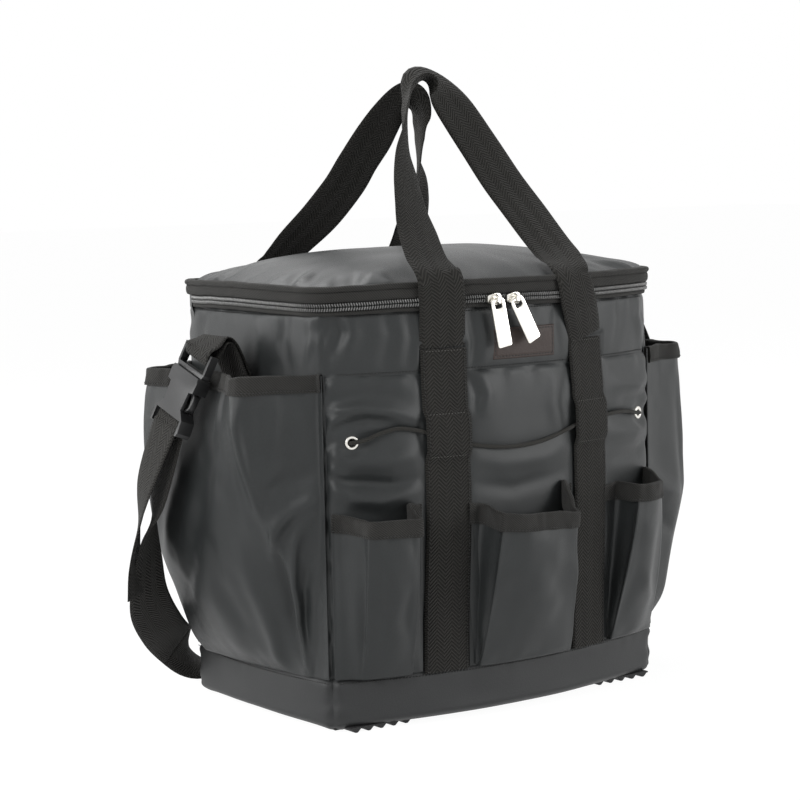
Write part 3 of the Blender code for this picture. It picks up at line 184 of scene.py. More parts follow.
class Finish(Nodes):
    """A material: constants go on its shader, and what changes over the surface is fed in."""

    def __init__(self, name, colour, roughness, **constants):
        self.material = bpy.data.materials.new(name)
        self.material.use_nodes = True
        super().__init__(self.material.node_tree)
        self.shader = self.tree.nodes["Principled BSDF"]
        self.shader.inputs["Base Color"].default_value = (*colour, 1)
        self.shader.inputs["Roughness"].default_value = roughness
        for socket, value in constants.items():
            self.shader.inputs[socket.replace("_", " ")].default_value = value

    def feed(self, socket, value):
        self.tree.links.new(value.socket, self.shader.inputs[socket])

    def lengths(self):
        """Lengths across and along the flat cloth, in metres, as each piece keeps them on its points."""
        place = self.node("ShaderNodeAttribute", {"attribute_name": "cloth"}, out="Vector")
        return [self.node("ShaderNodeSeparateXYZ", {}, {0: place}, out=k) for k in ("X", "Y")]

    def noise(self, size, detail=2.0, stretch=(1, 1, 1)):
        """Random values from 0 to 1 whose lumps are about this many metres wide."""
        place = self.node("ShaderNodeTexCoord", {}, out="Object")
        place = self.node("ShaderNodeMapping", {}, {"Vector": place, "Scale": stretch})
        return self.node("ShaderNodeTexNoise", {}, {"Vector": place, "Scale": 1 / size, "Detail": detail})

    def shade(self, dark, light, share):
        """Mixes two colours by a value from 0 to 1 and feeds the result in as the colour."""
        mixed = self.node("ShaderNodeMix", {"data_type": "RGBA"}, {0: share, 6: dark, 7: light}, out=2)
        self.feed("Base Color", mixed)

    def emboss(self, height, depth, strength=1.0):
        """Raises the surface by a height value times a depth in metres."""
        bumped = self.node("ShaderNodeBump", {}, {"Height": height, "Distance": depth, "Strength": strength})
        self.feed("Normal", bumped)


print("a finish can make:", [name for name in vars(Finish) if not name.startswith("_")])

# %% [markdown]
# ## The finishes
#
# The body is a dark grey nylon with a satin face: its threads are finer than a millimetre, so the weave shows
# mostly as a soft sheen. A real weave could be modelled thread by thread, but two crossed sine waves in a Bump
# node give the same light for nothing. The waves run along lengths that each piece keeps on its points, so they
# follow the cloth round every fold.

# %% Canvas
canvas = Finish("canvas", (0.026, 0.0285, 0.0288), 0.36, Specular_IOR_Level=0.34, Sheen_Weight=0.03)
across, along = canvas.lengths()
threads = across.wave(0.00080) * along.wave(0.00080)
mottle = canvas.noise(0.045, 3.0)
grain = canvas.noise(0.0012, 2.0)
canvas.shade((0.012, 0.0135, 0.0138), (0.040, 0.0435, 0.0440), mottle * 0.45 + threads * 0.16 + grain * 0.34)
canvas.feed("Roughness", mottle * 0.08 + grain * 0.12 + 0.31)
canvas.emboss(threads * 0.5 + grain * 0.6, 0.00005)
print("nodes in the canvas:", len(canvas.tree.nodes))

# %% [markdown]
# The coated cloth round the base is duller and smoother, with a faint leathery grain. The lining is a thin,
# lighter nylon. Both are one noise for the colour and a finer one for the grain.

# %% Coated cloth and lining
coated = Finish("coated cloth", (0.030, 0.031, 0.032), 0.58, Specular_IOR_Level=0.30)
pebble, cloud = coated.noise(0.0011, 3.0), coated.noise(0.050, 2.0)
coated.shade((0.024, 0.0250, 0.0255), (0.050, 0.0515, 0.0525), cloud * 0.5 + pebble * 0.45)
coated.feed("Roughness", cloud * 0.10 + 0.50)
coated.emboss(pebble, 0.00010)

lining = Finish("lining", (0.085, 0.088, 0.092), 0.55)
across, along = lining.lengths()
threads = across.wave(0.0012) * along.wave(0.0012)
cloud = lining.noise(0.06, 2.0)
lining.shade((0.070, 0.073, 0.077), (0.105, 0.108, 0.112), cloud * 0.8 + threads * 0.1)
lining.emboss(threads, 0.00006)
print("nodes in the coated cloth and the lining:", len(coated.tree.nodes), len(lining.tree.nodes))

# %% [markdown]
# Webbing is woven as a herringbone: slanted ribs that turn back every few millimetres across the width. The
# slant comes from adding a zigzag of the width to the length before taking the wave. The two selvedges have
# short straight ribs instead. The twill tape of the lid and of the pocket bindings slants one way only.

# %% Webbing and twill
webbing = Finish("webbing", (0.024, 0.023, 0.021), 0.78, Specular_IOR_Level=0.16, Sheen_Weight=0.06)
across, along = webbing.lengths()
chevron = 0.0125
zigzag = ((across / chevron + 0.25).part() - 0.5).size() * chevron
edge = across.size().above(0.0174)
ribs = (along + zigzag).wave(0.0030) * (1 - edge) + along.wave(0.00180) * edge
fluff, cloud = webbing.noise(0.0007, 2.0), webbing.noise(0.030, 2.0)
webbing.shade((0.004, 0.004, 0.0035), (0.052, 0.050, 0.0455), ribs * 0.25 + cloud * 0.16 + fluff * 0.30 + 0.20)
webbing.emboss(ribs * 0.5 + fluff * 0.4, 0.00070)

twill = Finish("twill tape", (0.026, 0.025, 0.023), 0.74, Specular_IOR_Level=0.20, Sheen_Weight=0.06)
across, along = twill.lengths()
slant = (along + across * 0.9).wave(0.00190)
fluff, cloud = twill.noise(0.0008, 2.0), twill.noise(0.020, 2.0)
twill.shade((0.008, 0.008, 0.0074), (0.062, 0.060, 0.056), slant * 0.22 + cloud * 0.34 + fluff * 0.30 + 0.05)
twill.emboss(slant * 0.5 + fluff * 0.4, 0.00035)
print("nodes in the webbing and the twill:", len(webbing.tree.nodes), len(twill.tree.nodes))

# %% [markdown]
# The elastic cord has a braided cover, which is two slanted waves that cross. The leather has a fine grain with
# darker pores: the cells of a Voronoi texture give both, where a photograph of leather would have to be tiled.

# %% Cord and leather
elastic = Finish("elastic", (0.030, 0.029, 0.026), 0.70, Specular_IOR_Level=0.20, Sheen_Weight=0.06)
across, along = elastic.lengths()
braid = (along + across).wave(0.0016) * (along - across).wave(0.0016)
elastic.shade((0.014, 0.0135, 0.012), (0.048, 0.046, 0.041), braid * 0.35 + 0.5)
elastic.emboss(braid, 0.00015)

leather = Finish("leather", (0.060, 0.040, 0.034), 0.50, Specular_IOR_Level=0.30)
place = leather.node("ShaderNodeTexCoord", {}, out="Object")
pores = leather.node("ShaderNodeTexVoronoi", {}, {"Vector": place, "Scale": 1100.0}, out="Distance")
cloud = leather.noise(0.012, 3.0)
leather.shade((0.026, 0.0175, 0.0150), (0.066, 0.048, 0.042), cloud * 0.6 + pores * 0.40)
leather.feed("Roughness", 0.62 - pores * 0.18)
leather.emboss(pores, 0.00012)
print("nodes in the cord and the leather:", len(elastic.tree.nodes), len(leather.tree.nodes))

# %% [markdown]
# The zip's teeth are nylon with a wet shine. Their grey is partly the nylon's own colour and partly painted
# highlight: one noise makes some teeth lighter, as painted glints. Thread is nearly black on the cloth, and the
# seams across the straps use a greyer one. On the threads, which are small, one noise only keeps them from
# looking all alike.

# %% Teeth and thread
teeth = Finish("zip coil", (0.110, 0.110, 0.108), 0.26, Specular_IOR_Level=0.60)
cloud = teeth.noise(0.0020, 2.0)
# painted highlight: the teeth run from a grey lighter than their nylon up to a light grey where the noise is high
teeth.shade((0.110, 0.110, 0.108), (0.300, 0.300, 0.294), cloud)
dark_thread = Finish("dark thread", (0.014, 0.014, 0.014), 0.60)
fluff = dark_thread.noise(0.0004, 2.0)
dark_thread.shade((0.008, 0.008, 0.008), (0.026, 0.026, 0.025), fluff)
grey_thread = Finish("grey thread", (0.095, 0.092, 0.085), 0.60)
fluff = grey_thread.noise(0.0004, 2.0)
grey_thread.shade((0.045, 0.044, 0.040), (0.105, 0.101, 0.094), fluff)
print("nodes in the teeth and the threads:", [len(f.tree.nodes) for f in (teeth, dark_thread, grey_thread)])

# %% [markdown]
# The buckle is moulded plastic: a fine spark-eroded texture dulls its flat faces, and its rubbed edges shine a
# little. The metal of the sliders and pulls is brushed nickel, warm and pale. The feet are black rubber, and
# the stiff board inside is plain fibreboard.

# %% Plastic, nickel, rubber and board
plastic = Finish("buckle plastic", (0.020, 0.0205, 0.021), 0.32, Specular_IOR_Level=0.38)
spark, cloud = plastic.noise(0.0005, 2.0), plastic.noise(0.010, 2.0)
plastic.shade((0.012, 0.0125, 0.013), (0.026, 0.0265, 0.027), cloud * 0.7 + spark * 0.3)
plastic.feed("Roughness", cloud * 0.12 + spark * 0.06 + 0.26)
plastic.emboss(spark, 0.00004)

nickel = Finish("nickel", (0.82, 0.80, 0.75), 0.24, Metallic=1.0)
brushed, cloud = nickel.noise(0.0008, 2.0, (1, 1, 0.15)), nickel.noise(0.006, 2.0)
nickel.shade((0.74, 0.72, 0.67), (0.88, 0.86, 0.81), cloud * 0.6 + brushed * 0.4)
nickel.feed("Roughness", brushed * 0.16 + 0.18)

rubber = Finish("foot rubber", (0.026, 0.026, 0.027), 0.62, Specular_IOR_Level=0.25)
spots = rubber.noise(0.0012, 3.0)
rubber.shade((0.018, 0.018, 0.019), (0.040, 0.040, 0.041), spots)
rubber.emboss(spots, 0.00010)

board = Finish("board", (0.18, 0.18, 0.18), 0.75)
fibre = board.noise(0.0020, 4.0, (1, 0.3, 1))
board.shade((0.13, 0.13, 0.13), (0.23, 0.23, 0.225), fibre)
board.emboss(fibre, 0.00015)
print("finishes:", sorted(m.name for m in bpy.data.materials if m.use_nodes))

# %% [markdown]
# ## From points to pieces
#
# Nearly every piece is a grid of points bent into shape: numpy moves all of them at once, and faces join the
# neighbours. Each point also keeps its place in the flat cloth, which the finishes read. A grid could be bent
# with modifiers too, but a formula says exactly where a seam or a fold runs.

# %% Lengths, directions and easing
def walked(line):
    """How far each point of a line lies along it from its start."""
    return np.concatenate([[0], np.cumsum(np.linalg.norm(np.diff(line, axis=0), axis=1))])


def unit(directions):
    """The same directions with a length of 1."""
    return directions / np.maximum(np.linalg.norm(directions, axis=-1, keepdims=True), 1e-12)


def eased(share):
    """A share from 0 to 1 that starts and ends gently."""
    return share * share * (3 - 2 * share)


print("halfway through an ease:", eased(0.5))

# %% [markdown]
# A mesh object needs points, faces and a finish. Here it also gets its place in the flat cloth, the body of the
# frame that it rides on where one is given, and the CAD nodes that it stands for. One function sees to all of it;
# a thin shell is added by a modifier only where both sides of the cloth can be seen.

# %% Building pieces from grids
def add_mesh(name, points, faces, lengths, finish, body, stands_for=()):
    """Makes a mesh object that rides on a body where one is given, and may stand for CAD nodes."""
    mesh = bpy.data.meshes.new(name)
    mesh.from_pydata(np.asarray(points, float).tolist(), [], [list(map(int, f)) for f in faces])
    kept = mesh.attributes.new("cloth", "FLOAT_VECTOR", "POINT")
    kept.data.foreach_set("vector", np.asarray(lengths, np.float32).ravel())
    mesh.materials.append(finish.material)
    mesh.shade_smooth()
    made = bpy.data.objects.new(name, mesh)
    bpy.context.scene.collection.objects.link(made)
    if body:
        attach(made, body)
    if stands_for:
        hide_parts(*stands_for)
    return made


def run_lengths(grid):
    """Distances along the rows' middle and the columns' middle of a grid, as two arrays."""
    return np.meshgrid(walked(grid[len(grid) // 2]), walked(grid[:, grid.shape[1] // 2]))


def grid_faces(rows, columns, ring=False):
    """Faces of a grid; in a ring the last column joins the first."""
    r = np.arange(rows - 1)[:, None]
    c = np.arange(columns if ring else columns - 1)[None, :]
    d = (c + 1) % columns
    corners = [r * columns + c, r * columns + d, (r + 1) * columns + d, (r + 1) * columns + c]
    return np.stack([np.broadcast_to(x, (rows - 1, c.shape[1])) for x in corners], -1).reshape(-1, 4)


def add_sheet(name, grid, finish, body, stands_for=(), lengths=None, ring=False, thick=0.0):
    """A sheet of cloth from a grid of points; thick gives it an inner side too."""
    rows, columns = grid.shape[:2]
    if lengths is None:
        lengths = run_lengths(grid)
    kept = np.stack([lengths[0], lengths[1], np.zeros((rows, columns))], -1)
    made = add_mesh(name, grid.reshape(-1, 3), grid_faces(rows, columns, ring), kept.reshape(-1, 3),
                    finish, body, stands_for)
    if thick:
        shell = made.modifiers.new("cloth thickness", "SOLIDIFY")
        shell.thickness = thick
        shell.offset = -1.0
    return made


def normals_of(grid):
    """Outward directions of a grid's points."""
    return unit(np.cross(np.gradient(grid, axis=1), np.gradient(grid, axis=0)))


print("faces of a grid of 3 by 4 points:", len(grid_faces(3, 4)))

# %% [markdown]
# Cloth is never even. Smooth random heights, read at any scale, give its small lumps; a seed makes them the same
# at each run. Straps and cords run along curves, and a spline through a few points is easier to aim than a
# curve with handles.

# %% Random lumps and smooth curves
def lumps(a, b, seed):
    """Smooth random heights from -1 to 1 over cells of size 1."""
    table = np.random.default_rng(seed).uniform(-1, 1, (64, 64))
    a, b = np.broadcast_arrays(np.asarray(a, float) + 1000, np.asarray(b, float) + 1000)
    i, j = np.floor(a).astype(int), np.floor(b).astype(int)
    p, q = eased(a - i), eased(b - j)
    low = table[i % 64, j % 64] * (1 - p) + table[(i + 1) % 64, j % 64] * p
    high = table[i % 64, (j + 1) % 64] * (1 - p) + table[(i + 1) % 64, (j + 1) % 64] * p
    return low * (1 - q) + high * q


def curve_through(points, steps):
    """A smooth curve through points, as an array; steps points for each stretch."""
    p = np.asarray(points, float)
    p = np.concatenate([[2 * p[0] - p[1]], p, [2 * p[-1] - p[-2]]])
    t = (np.arange(steps) / steps)[:, None]
    made = []
    for a, b, c, d in zip(p, p[1:], p[2:], p[3:]):
        made.append(0.5 * (2 * b + (c - a) * t + (2 * a - 5 * b + 4 * c - d) * t ** 2
                           + (3 * b - a - 3 * c + d) * t ** 3))
    return np.concatenate(made + [p[-2][None]])


print("a curve through three points:", len(curve_through([(0, 0), (1, 1), (2, 0)], 4)), "points")

# %% [markdown]
# ## Thread and teeth
#
# Stitches and zip teeth are the same small thing: a lozenge with a long axis, hundreds of times over. They could
# be instances, but one mesh for each body is simpler to export and to pose. They are gathered in a list while
# the pieces are made, and built at the end.

# %% Lozenges for stitches and teeth
gathered = {}


def lozenges(body, finish, centres, long, wide, out, half_long, half_wide, half_out):
    """Adds rounded lozenges: three unit directions and three half sizes for each."""
    centres = np.asarray(centres, float)
    base = [(-1, 0, 0)]
    for x in (-0.62, 0.62):
        base += [(x, 1, 0), (x, 0, 1), (x, -1, 0), (x, 0, -1)]
    base = np.array(base + [(1, 0, 0)])
    faces = [(0, 2, 1), (0, 3, 2), (0, 4, 3), (0, 1, 4), (9, 5, 6), (9, 6, 7), (9, 7, 8), (9, 8, 5)]
    faces += [(1, 2, 6, 5), (2, 3, 7, 6), (3, 4, 8, 7), (4, 1, 5, 8)]
    points = (centres[:, None] + base[None, :, :1] * half_long * long[:, None]
              + base[None, :, 1:2] * half_wide * wide[:, None] + base[None, :, 2:] * half_out * out[:, None])
    gathered.setdefault((body, finish.material.name), []).append((points, faces, finish))


def read_at(values, walk, at):
    """Reads a line's rows of three values at lengths along it."""
    return np.stack([np.interp(at, walk, values[:, k]) for k in range(3)], -1)


def stitches(body, finish, line, out, pitch=0.0027, dash=0.0019, wide=0.00042, lift=0.0002):
    """A row of stitches along a line of points; out is the direction away from the cloth at each of them."""
    line, out = np.asarray(line, float), np.asarray(out, float)
    if out.ndim == 1:
        out = np.broadcast_to(out, line.shape)
    walk, near = walked(line), 0.0008
    at = np.arange(pitch / 2, walk[-1], pitch)
    way = unit(read_at(line, walk, at + near) - read_at(line, walk, at - near))
    normal = unit(read_at(out, walk, at))
    lozenges(body, finish, read_at(line, walk, at) + normal * lift, way, np.cross(normal, way), normal,
             dash / 2, wide, wide * 0.9)


def build_gathered():
    """One mesh of lozenges for each body and finish."""
    for (body, _), batches in gathered.items():
        points, faces, start = [], [], 0
        for batch, shape, finish in batches:
            flat = batch.reshape(-1, 3)
            offsets = start + np.arange(len(batch)) * batch.shape[1]
            for face in shape:
                faces += (offsets[:, None] + np.array(face)).tolist()
            points.append(flat)
            start += len(flat)
        name = f"{body}_{finish.material.name.replace(' ', '_')}"
        points = np.concatenate(points)
        add_mesh(name, points, faces, np.zeros_like(points), finish, body)
        print(name, "lozenges:", len(points) // 10)


print("rows gathered so far:", len(gathered))

# %% [markdown]
# ## The shape of the bag
#
# Four upright seams stand at the corners of a rectangle, and the cloth between them bulges as a shallow arc. One
# function gives any point of a wall from its place along the wall, its height and its distance off the cloth, and
# every later piece asks it where the wall is. The alternative, to model the box first and to shrink the rest onto
# it, would tie every strap to the folds of the cloth below.

# %% Walls
SIDES = ("front", "right", "back", "left")
WIDTH, DEPTH = 0.320, 0.195
RIM_Z, SEAM_Z, YOKE_Z = 0.3166, 0.041, 0.269
BACK_SAG, SIDE_SAG = 0.012, 0.010
STRAP_X, WEB, WEB_THICK = 0.0706, 0.038, 0.0018
EYELET_X, EYELET_Z = 0.1415, 0.2200


def half_of(side):
    """Half the distance between a wall's two corner seams."""
    return (WIDTH if side in ("front", "back") else DEPTH) / 2


def arc(t, half, deep):
    """How far an arc stands past its chord at t from -1 to 1."""
    radius = (half * half + deep * deep) / (2 * deep)
    return np.sqrt(radius * radius - (t * half) ** 2) - (radius - deep)


def front_sag(z):
    """How far the front stands past its corner seams; it is a little fuller at the rim."""
    return 0.030 + 0.005 * np.clip((z - SEAM_Z) / (RIM_Z - SEAM_Z), 0, 1)


def wall(side, t, z, out=0.0):
    """Points of a wall: t runs from -1 to 1 anticlockwise seen from above, out is the distance off the cloth."""
    t, z, out = np.broadcast_arrays(*np.atleast_1d(t, z, out))
    w, d = WIDTH / 2 + out, DEPTH / 2 + out
    if side == "front":
        return np.stack([t * w, -d - arc(t, w, front_sag(z)), z], -1)
    if side == "back":
        return np.stack([-t * w, d + arc(t, w, BACK_SAG), z], -1)
    if side == "right":
        return np.stack([w + arc(t, d, SIDE_SAG), t * d, z], -1)
    return np.stack([-w - arc(t, d, SIDE_SAG), -t * d, z], -1)


def front_at(x, z, out=0.0):
    """A point of the front wall from its place across the bag."""
    return wall("front", np.asarray(x) / (WIDTH / 2 + np.asarray(out)), z, out)


def back_at(x, z, out=0.0):
    """A point of the back wall from its place across the bag."""
    return wall("back", -np.asarray(x) / (WIDTH / 2 + np.asarray(out)), z, out)


def side_x(y, z, out=0.0):
    """How far the right wall is from the middle at a depth y."""
    return wall("right", np.asarray(y) / (DEPTH / 2 + np.asarray(out)), z, out)[..., 0]


print("front wall's middle at y =", front_at(0.0, 0.15)[0, 1].round(4))

# %% [markdown]
# ## Seams, puckers and folds
#
# Foam behind the nylon makes each panel a soft cushion between its seams: it rolls in at the seams and puckers
# there, because the thread draws the cloth together. A larger fold is a ridge or a groove along a line. Cloth
# simulation would find such folds by itself, but not where the real bag has them, so each one is drawn
# as a few points with a width and a height.

# %% Rolled seams, puckers and ridges
def turned_in(away, deep, reach):
    """Cloth that rolls in to a seam; away is the distance from it."""
    return -deep * np.exp(-(np.abs(away) / reach) ** 1.4)


def puckers(run, away, pitch, height, reach, seed):
    """Small folds square to a seam that fade away from it."""
    return height * np.exp(-np.abs(away) / reach) * lumps(run / pitch, away / (pitch * 4), seed)


def ridge(s, z, points, wide, height):
    """A fold along a line of (s, z) points: a smooth ridge, or a groove where height is negative."""
    near = np.full(np.broadcast(s, z).shape, 1e9)
    fade = np.zeros_like(near)
    p = np.asarray(points, float)
    total = len(p) - 1
    for k, (a, b) in enumerate(zip(p, p[1:])):
        d = b - a
        t = np.clip(((s - a[0]) * d[0] + (z - a[1]) * d[1]) / (d @ d), 0, 1)
        away = np.hypot(s - a[0] - t * d[0], z - a[1] - t * d[1])
        share = (k + t) / total
        closer = away < near
        near = np.where(closer, away, near)
        fade = np.where(closer, np.sin(math.pi * np.clip(share * 0.94 + 0.03, 0, 1)) ** 0.6, fade)
    return height * np.exp(-(near / wide) ** 2) * fade


def folded(s, z, folds):
    """The heights of many folds together: each is a line of (s, z) points, a width and a height."""
    return sum(ridge(s, z, line, wide, height) for line, wide, height in folds)


def reshaped(mesh, change):
    """Hands an editable copy of a mesh to a function and writes the result back."""
    edited = bmesh.new()
    edited.from_mesh(mesh)
    change(edited)
    edited.to_mesh(mesh)
    edited.free()


middle = ridge(0.01, 0.0, [(0.0, 0.0), (0.02, 0.0)], 0.005, 0.002)
print("a ridge 2 mm high is", middle.round(5), "m high in its middle")

# %% [markdown]
# ## The cloth of the body
#
# Flat panels would look like sheet metal, so each panel is its wall plus a height for everything that the cloth
# does: it swells, rolls in, puckers, waves and folds. The eyelets clamp the front flat, and the few faces behind
# their holes are taken away; a Boolean would do that too, but not better on a mesh this fine.

# %% Body panels
CLOTH_STEP = 0.0020


def open_up(made, places, radius):
    """Takes away the faces round some places, for the holes of the eyelets."""
    def cut(mesh):
        inside = [f for f in mesh.faces
                  if min((f.calc_center_median() - Vector(p)).length for p in places) < radius]
        bmesh.ops.delete(mesh, geom=inside, context="FACES")
        print("faces taken away for holes:", len(inside))
    reshaped(made.data, cut)


def panel(name, side, low, high, stands_for, folds, seed, puff=0.0022):
    """A padded panel of a wall between two seams; folds is a function that adds its own folds."""
    half = half_of(side)
    columns, rows = int(2 * half / CLOTH_STEP), int((high - low) / CLOTH_STEP)
    t = np.linspace(-1, 1, columns + 1)[None, :]
    z = np.linspace(low, high, rows + 1)[:, None]
    s = t * half
    corner, foot, top = half - np.abs(s), z - low, high - z
    out = puff * (1 - np.exp(-corner / 0.016)) * (1 - np.exp(-foot / 0.012)) * (1 - np.exp(-top / 0.012))
    fade = 1.0
    for away, deep, reach, clear in ((corner, 0.0024, 0.0042, 0.004), (foot, 0.0010, 0.0022, 0.002),
                                     (top, 0.0010, 0.0022, 0.002)):
        out = out + turned_in(away, deep, reach)
        fade = fade * np.clip(away / clear, 0, 1)
    out = out + fade * puckers(z, corner, 0.0105, 0.0013, 0.012, seed)
    out = out + fade * puckers(s, top, 0.0095, 0.0012, 0.009, seed + 1)
    out = out + fade * puckers(s, foot, 0.0110, 0.0007, 0.008, seed + 2)
    out = out + fade * (0.0010 * lumps(s / 0.034, z / 0.050, seed + 3)
                        + 0.0003 * lumps(s / 0.017, z / 0.026, seed + 4))
    out = out + folds(s, z) * fade
    with_eyelets = side == "front" and low < EYELET_Z < high
    if with_eyelets:
        clamped = np.exp(-(np.hypot(np.abs(s) - EYELET_X, z - EYELET_Z) / 0.0105) ** 4)
        out = out * (1 - clamped) + 0.0002 * clamped
    grid = wall(side, t + 0 * z, z + 0 * t, out)
    made = add_sheet(name, grid, canvas, "bag", stands_for, (s + 0 * z, z + 0 * s))
    if with_eyelets:
        open_up(made, [front_at(x, EYELET_Z)[0] for x in (-EYELET_X, EYELET_X)], 0.0031)
    return grid


print("a panel's points are", CLOTH_STEP * 1000, "mm apart")

# %% [markdown]
# The straps press the front down where they are sewn, it swells between them, and the elastic cord pulls a groove
# into it. Left of the straps the photograph shows deep level folds above and below the cord.

# %% Folds of the front
CORD_HEIGHTS = [(-0.1415, 0.2200), (-0.123, 0.2262), (-0.109, 0.2290), (-0.084, 0.2240), (-0.056, 0.2145),
                (-0.022, 0.2088), (0.0, 0.2085), (0.022, 0.2110), (0.056, 0.2190), (0.086, 0.2230),
                (0.118, 0.2238), (0.1415, 0.2200)]
FRONT_FOLDS = [
    ([(-0.158, 0.236), (-0.148, 0.243), (-0.134, 0.2455), (-0.112, 0.242), (-0.092, 0.235)], 0.0055, 0.0034),
    ([(-0.158, 0.228), (-0.146, 0.233), (-0.130, 0.2365), (-0.110, 0.2345)], 0.0035, -0.0024),
    ([(-0.158, 0.250), (-0.146, 0.2535), (-0.130, 0.256), (-0.100, 0.252)], 0.0055, -0.0016),
    ([(-0.158, 0.243), (-0.151, 0.2415), (-0.143, 0.2425)], 0.0022, -0.0016),
    ([(-0.158, 0.216), (-0.140, 0.207), (-0.112, 0.205), (-0.092, 0.209)], 0.0080, 0.0034),
    ([(-0.158, 0.189), (-0.142, 0.1785), (-0.120, 0.175), (-0.094, 0.180)], 0.0060, 0.0030),
    ([(-0.158, 0.196), (-0.140, 0.190), (-0.112, 0.187), (-0.092, 0.190)], 0.0045, -0.0026),
    ([(-0.158, 0.203), (-0.150, 0.197), (-0.143, 0.194)], 0.0025, 0.0016),
    ([(0.158, 0.252), (0.135, 0.244), (0.100, 0.247)], 0.0070, 0.0024),
    ([(0.158, 0.238), (0.140, 0.233), (0.112, 0.234)], 0.0040, -0.0018),
    ([(0.158, 0.212), (0.130, 0.205), (0.095, 0.209)], 0.0075, 0.0026),
    ([(0.158, 0.196), (0.138, 0.190), (0.100, 0.187)], 0.0045, -0.0018),
    ([(-0.049, 0.268), (-0.042, 0.250), (-0.044, 0.236)], 0.0045, -0.0026),
    ([(-0.038, 0.268), (-0.033, 0.250), (-0.037, 0.232)], 0.0060, 0.0018),
    ([(0.048, 0.266), (0.041, 0.240), (0.045, 0.214)], 0.0055, -0.0018),
    ([(0.034, 0.262), (0.030, 0.238), (0.036, 0.214)], 0.0070, 0.0016),
    ([(-0.046, 0.202), (-0.020, 0.196), (0.020, 0.197), (0.046, 0.204)], 0.0070, 0.0016),
    ([(-0.046, 0.182), (-0.010, 0.176), (0.046, 0.184)], 0.0060, -0.0014)]


def beside_straps(s):
    """Distance from the nearest edge of a handle strap, below zero under the strap."""
    return np.abs(np.abs(s) - STRAP_X) - WEB / 2


def cord_height(x):
    """Height of the elastic cord across the front."""
    return np.interp(x, *np.array(CORD_HEIGHTS).T)


def front_folds(s, z):
    """Straps press the cloth down, it swells between them, and the cord ties it in."""
    beside = beside_straps(s)
    out = -0.0022 * np.exp(-np.clip(beside, 0, 1) / 0.004) * (beside > -0.002)
    out = np.where(beside < 0, -0.0022, out)
    tied = np.exp(-((z - cord_height(s)) / 0.0055) ** 2) * np.where(np.abs(s) > STRAP_X, 1.0, 0.35)
    return out - 0.0016 * tied * (beside > 0) + folded(s, z, FRONT_FOLDS)


front_grid = panel("front_cloth", "front", SEAM_Z, YOKE_Z, ["front_panel"], front_folds, 11)
print("front cloth:", front_grid.shape)

# %% [markdown]
# The yoke is the strip of cloth above the front's cross seam. The zip's tape gathers it, so its folds stand
# upright and fade out downwards.

# %% Folds of the yoke
YOKE_FOLDS = [
    ([(-0.046, 0.270), (-0.043, 0.290), (-0.047, 0.314)], 0.0040, -0.0024),
    ([(-0.036, 0.272), (-0.034, 0.290), (-0.038, 0.312)], 0.0045, 0.0016),
    ([(-0.152, 0.315), (-0.147, 0.303), (-0.153, 0.288)], 0.0040, -0.0022),
    ([(-0.140, 0.315), (-0.138, 0.300), (-0.146, 0.276)], 0.0055, 0.0016),
    ([(-0.116, 0.316), (-0.111, 0.300), (-0.118, 0.272)], 0.0055, -0.0018),
    ([(-0.098, 0.316), (-0.095, 0.296), (-0.099, 0.272)], 0.0050, -0.0020),
    ([(0.036, 0.316), (0.034, 0.300), (0.039, 0.272)], 0.0050, -0.0018),
    ([(0.108, 0.316), (0.112, 0.300), (0.106, 0.276)], 0.0060, -0.0014),
    ([(0.145, 0.316), (0.140, 0.300), (0.148, 0.280)], 0.0050, 0.0014)]


def yoke_folds(s, z):
    """The straps are sewn to the lower part of the yoke and press it down there."""
    sewn = (beside_straps(s) < 0) & (z < 0.290)
    return np.where(sewn, -0.0020, 0.0) + folded(s, z, YOKE_FOLDS)


yoke_grid = panel("front_yoke_cloth", "front", YOKE_Z, RIM_Z, ["front_yoke"], yoke_folds, 21, 0.0018)
print("yoke cloth:", yoke_grid.shape)

# %% [markdown]
# The side walls show only above the mouths of their pockets, with soft upright folds. The back can't be seen in
# the photograph: it gets what such cloth does between two sewn straps, and nothing more.

# %% Folds of the sides and the back
SIDE_WALL_FOLDS = [
    ([(0.060, 0.314), (0.055, 0.295), (0.063, 0.272)], 0.0060, -0.0016),
    ([(0.020, 0.314), (0.028, 0.300), (0.024, 0.270)], 0.0080, 0.0014),
    ([(-0.055, 0.314), (-0.062, 0.300), (-0.056, 0.272)], 0.0070, -0.0014),
    ([(0.084, 0.314), (0.086, 0.300), (0.080, 0.282)], 0.0040, 0.0012)]
BACK_FOLDS = [
    ([(-0.046, 0.285), (0.000, 0.276), (0.046, 0.287)], 0.009, 0.0022),
    ([(-0.046, 0.205), (0.000, 0.196), (0.046, 0.208)], 0.012, 0.0020),
    ([(-0.046, 0.120), (0.010, 0.128), (0.046, 0.118)], 0.010, -0.0018),
    ([(-0.157, 0.250), (-0.125, 0.238), (-0.094, 0.246)], 0.009, 0.0024),
    ([(-0.157, 0.150), (-0.130, 0.160), (-0.094, 0.150)], 0.009, -0.0020),
    ([(0.157, 0.230), (0.125, 0.242), (0.094, 0.232)], 0.009, 0.0024),
    ([(0.157, 0.130), (0.130, 0.118), (0.094, 0.128)], 0.009, 0.0022)]


def side_folds(s, z):
    """Soft upright folds above the side pocket's mouth."""
    return folded(s, z, SIDE_WALL_FOLDS)


def back_folds(s, z):
    """The straps press the back down, and the cloth swells between them."""
    beside = beside_straps(s)
    pressed = np.where(beside < 0, -0.0022, -0.0022 * np.exp(-np.clip(beside, 0, 1) / 0.004))
    return pressed + folded(s, z, BACK_FOLDS)


back_grid = panel("back_cloth", "back", SEAM_Z, RIM_Z, ["back_panel"], back_folds, 31)
left_grid = panel("left_side_cloth", "left", SEAM_Z, RIM_Z, ["left_side_panel"], side_folds, 41)
right_grid = panel("right_side_cloth", "right", SEAM_Z, RIM_Z, ["right_side_panel"], side_folds, 51)
print("back and sides:", back_grid.shape, left_grid.shape, right_grid.shape)

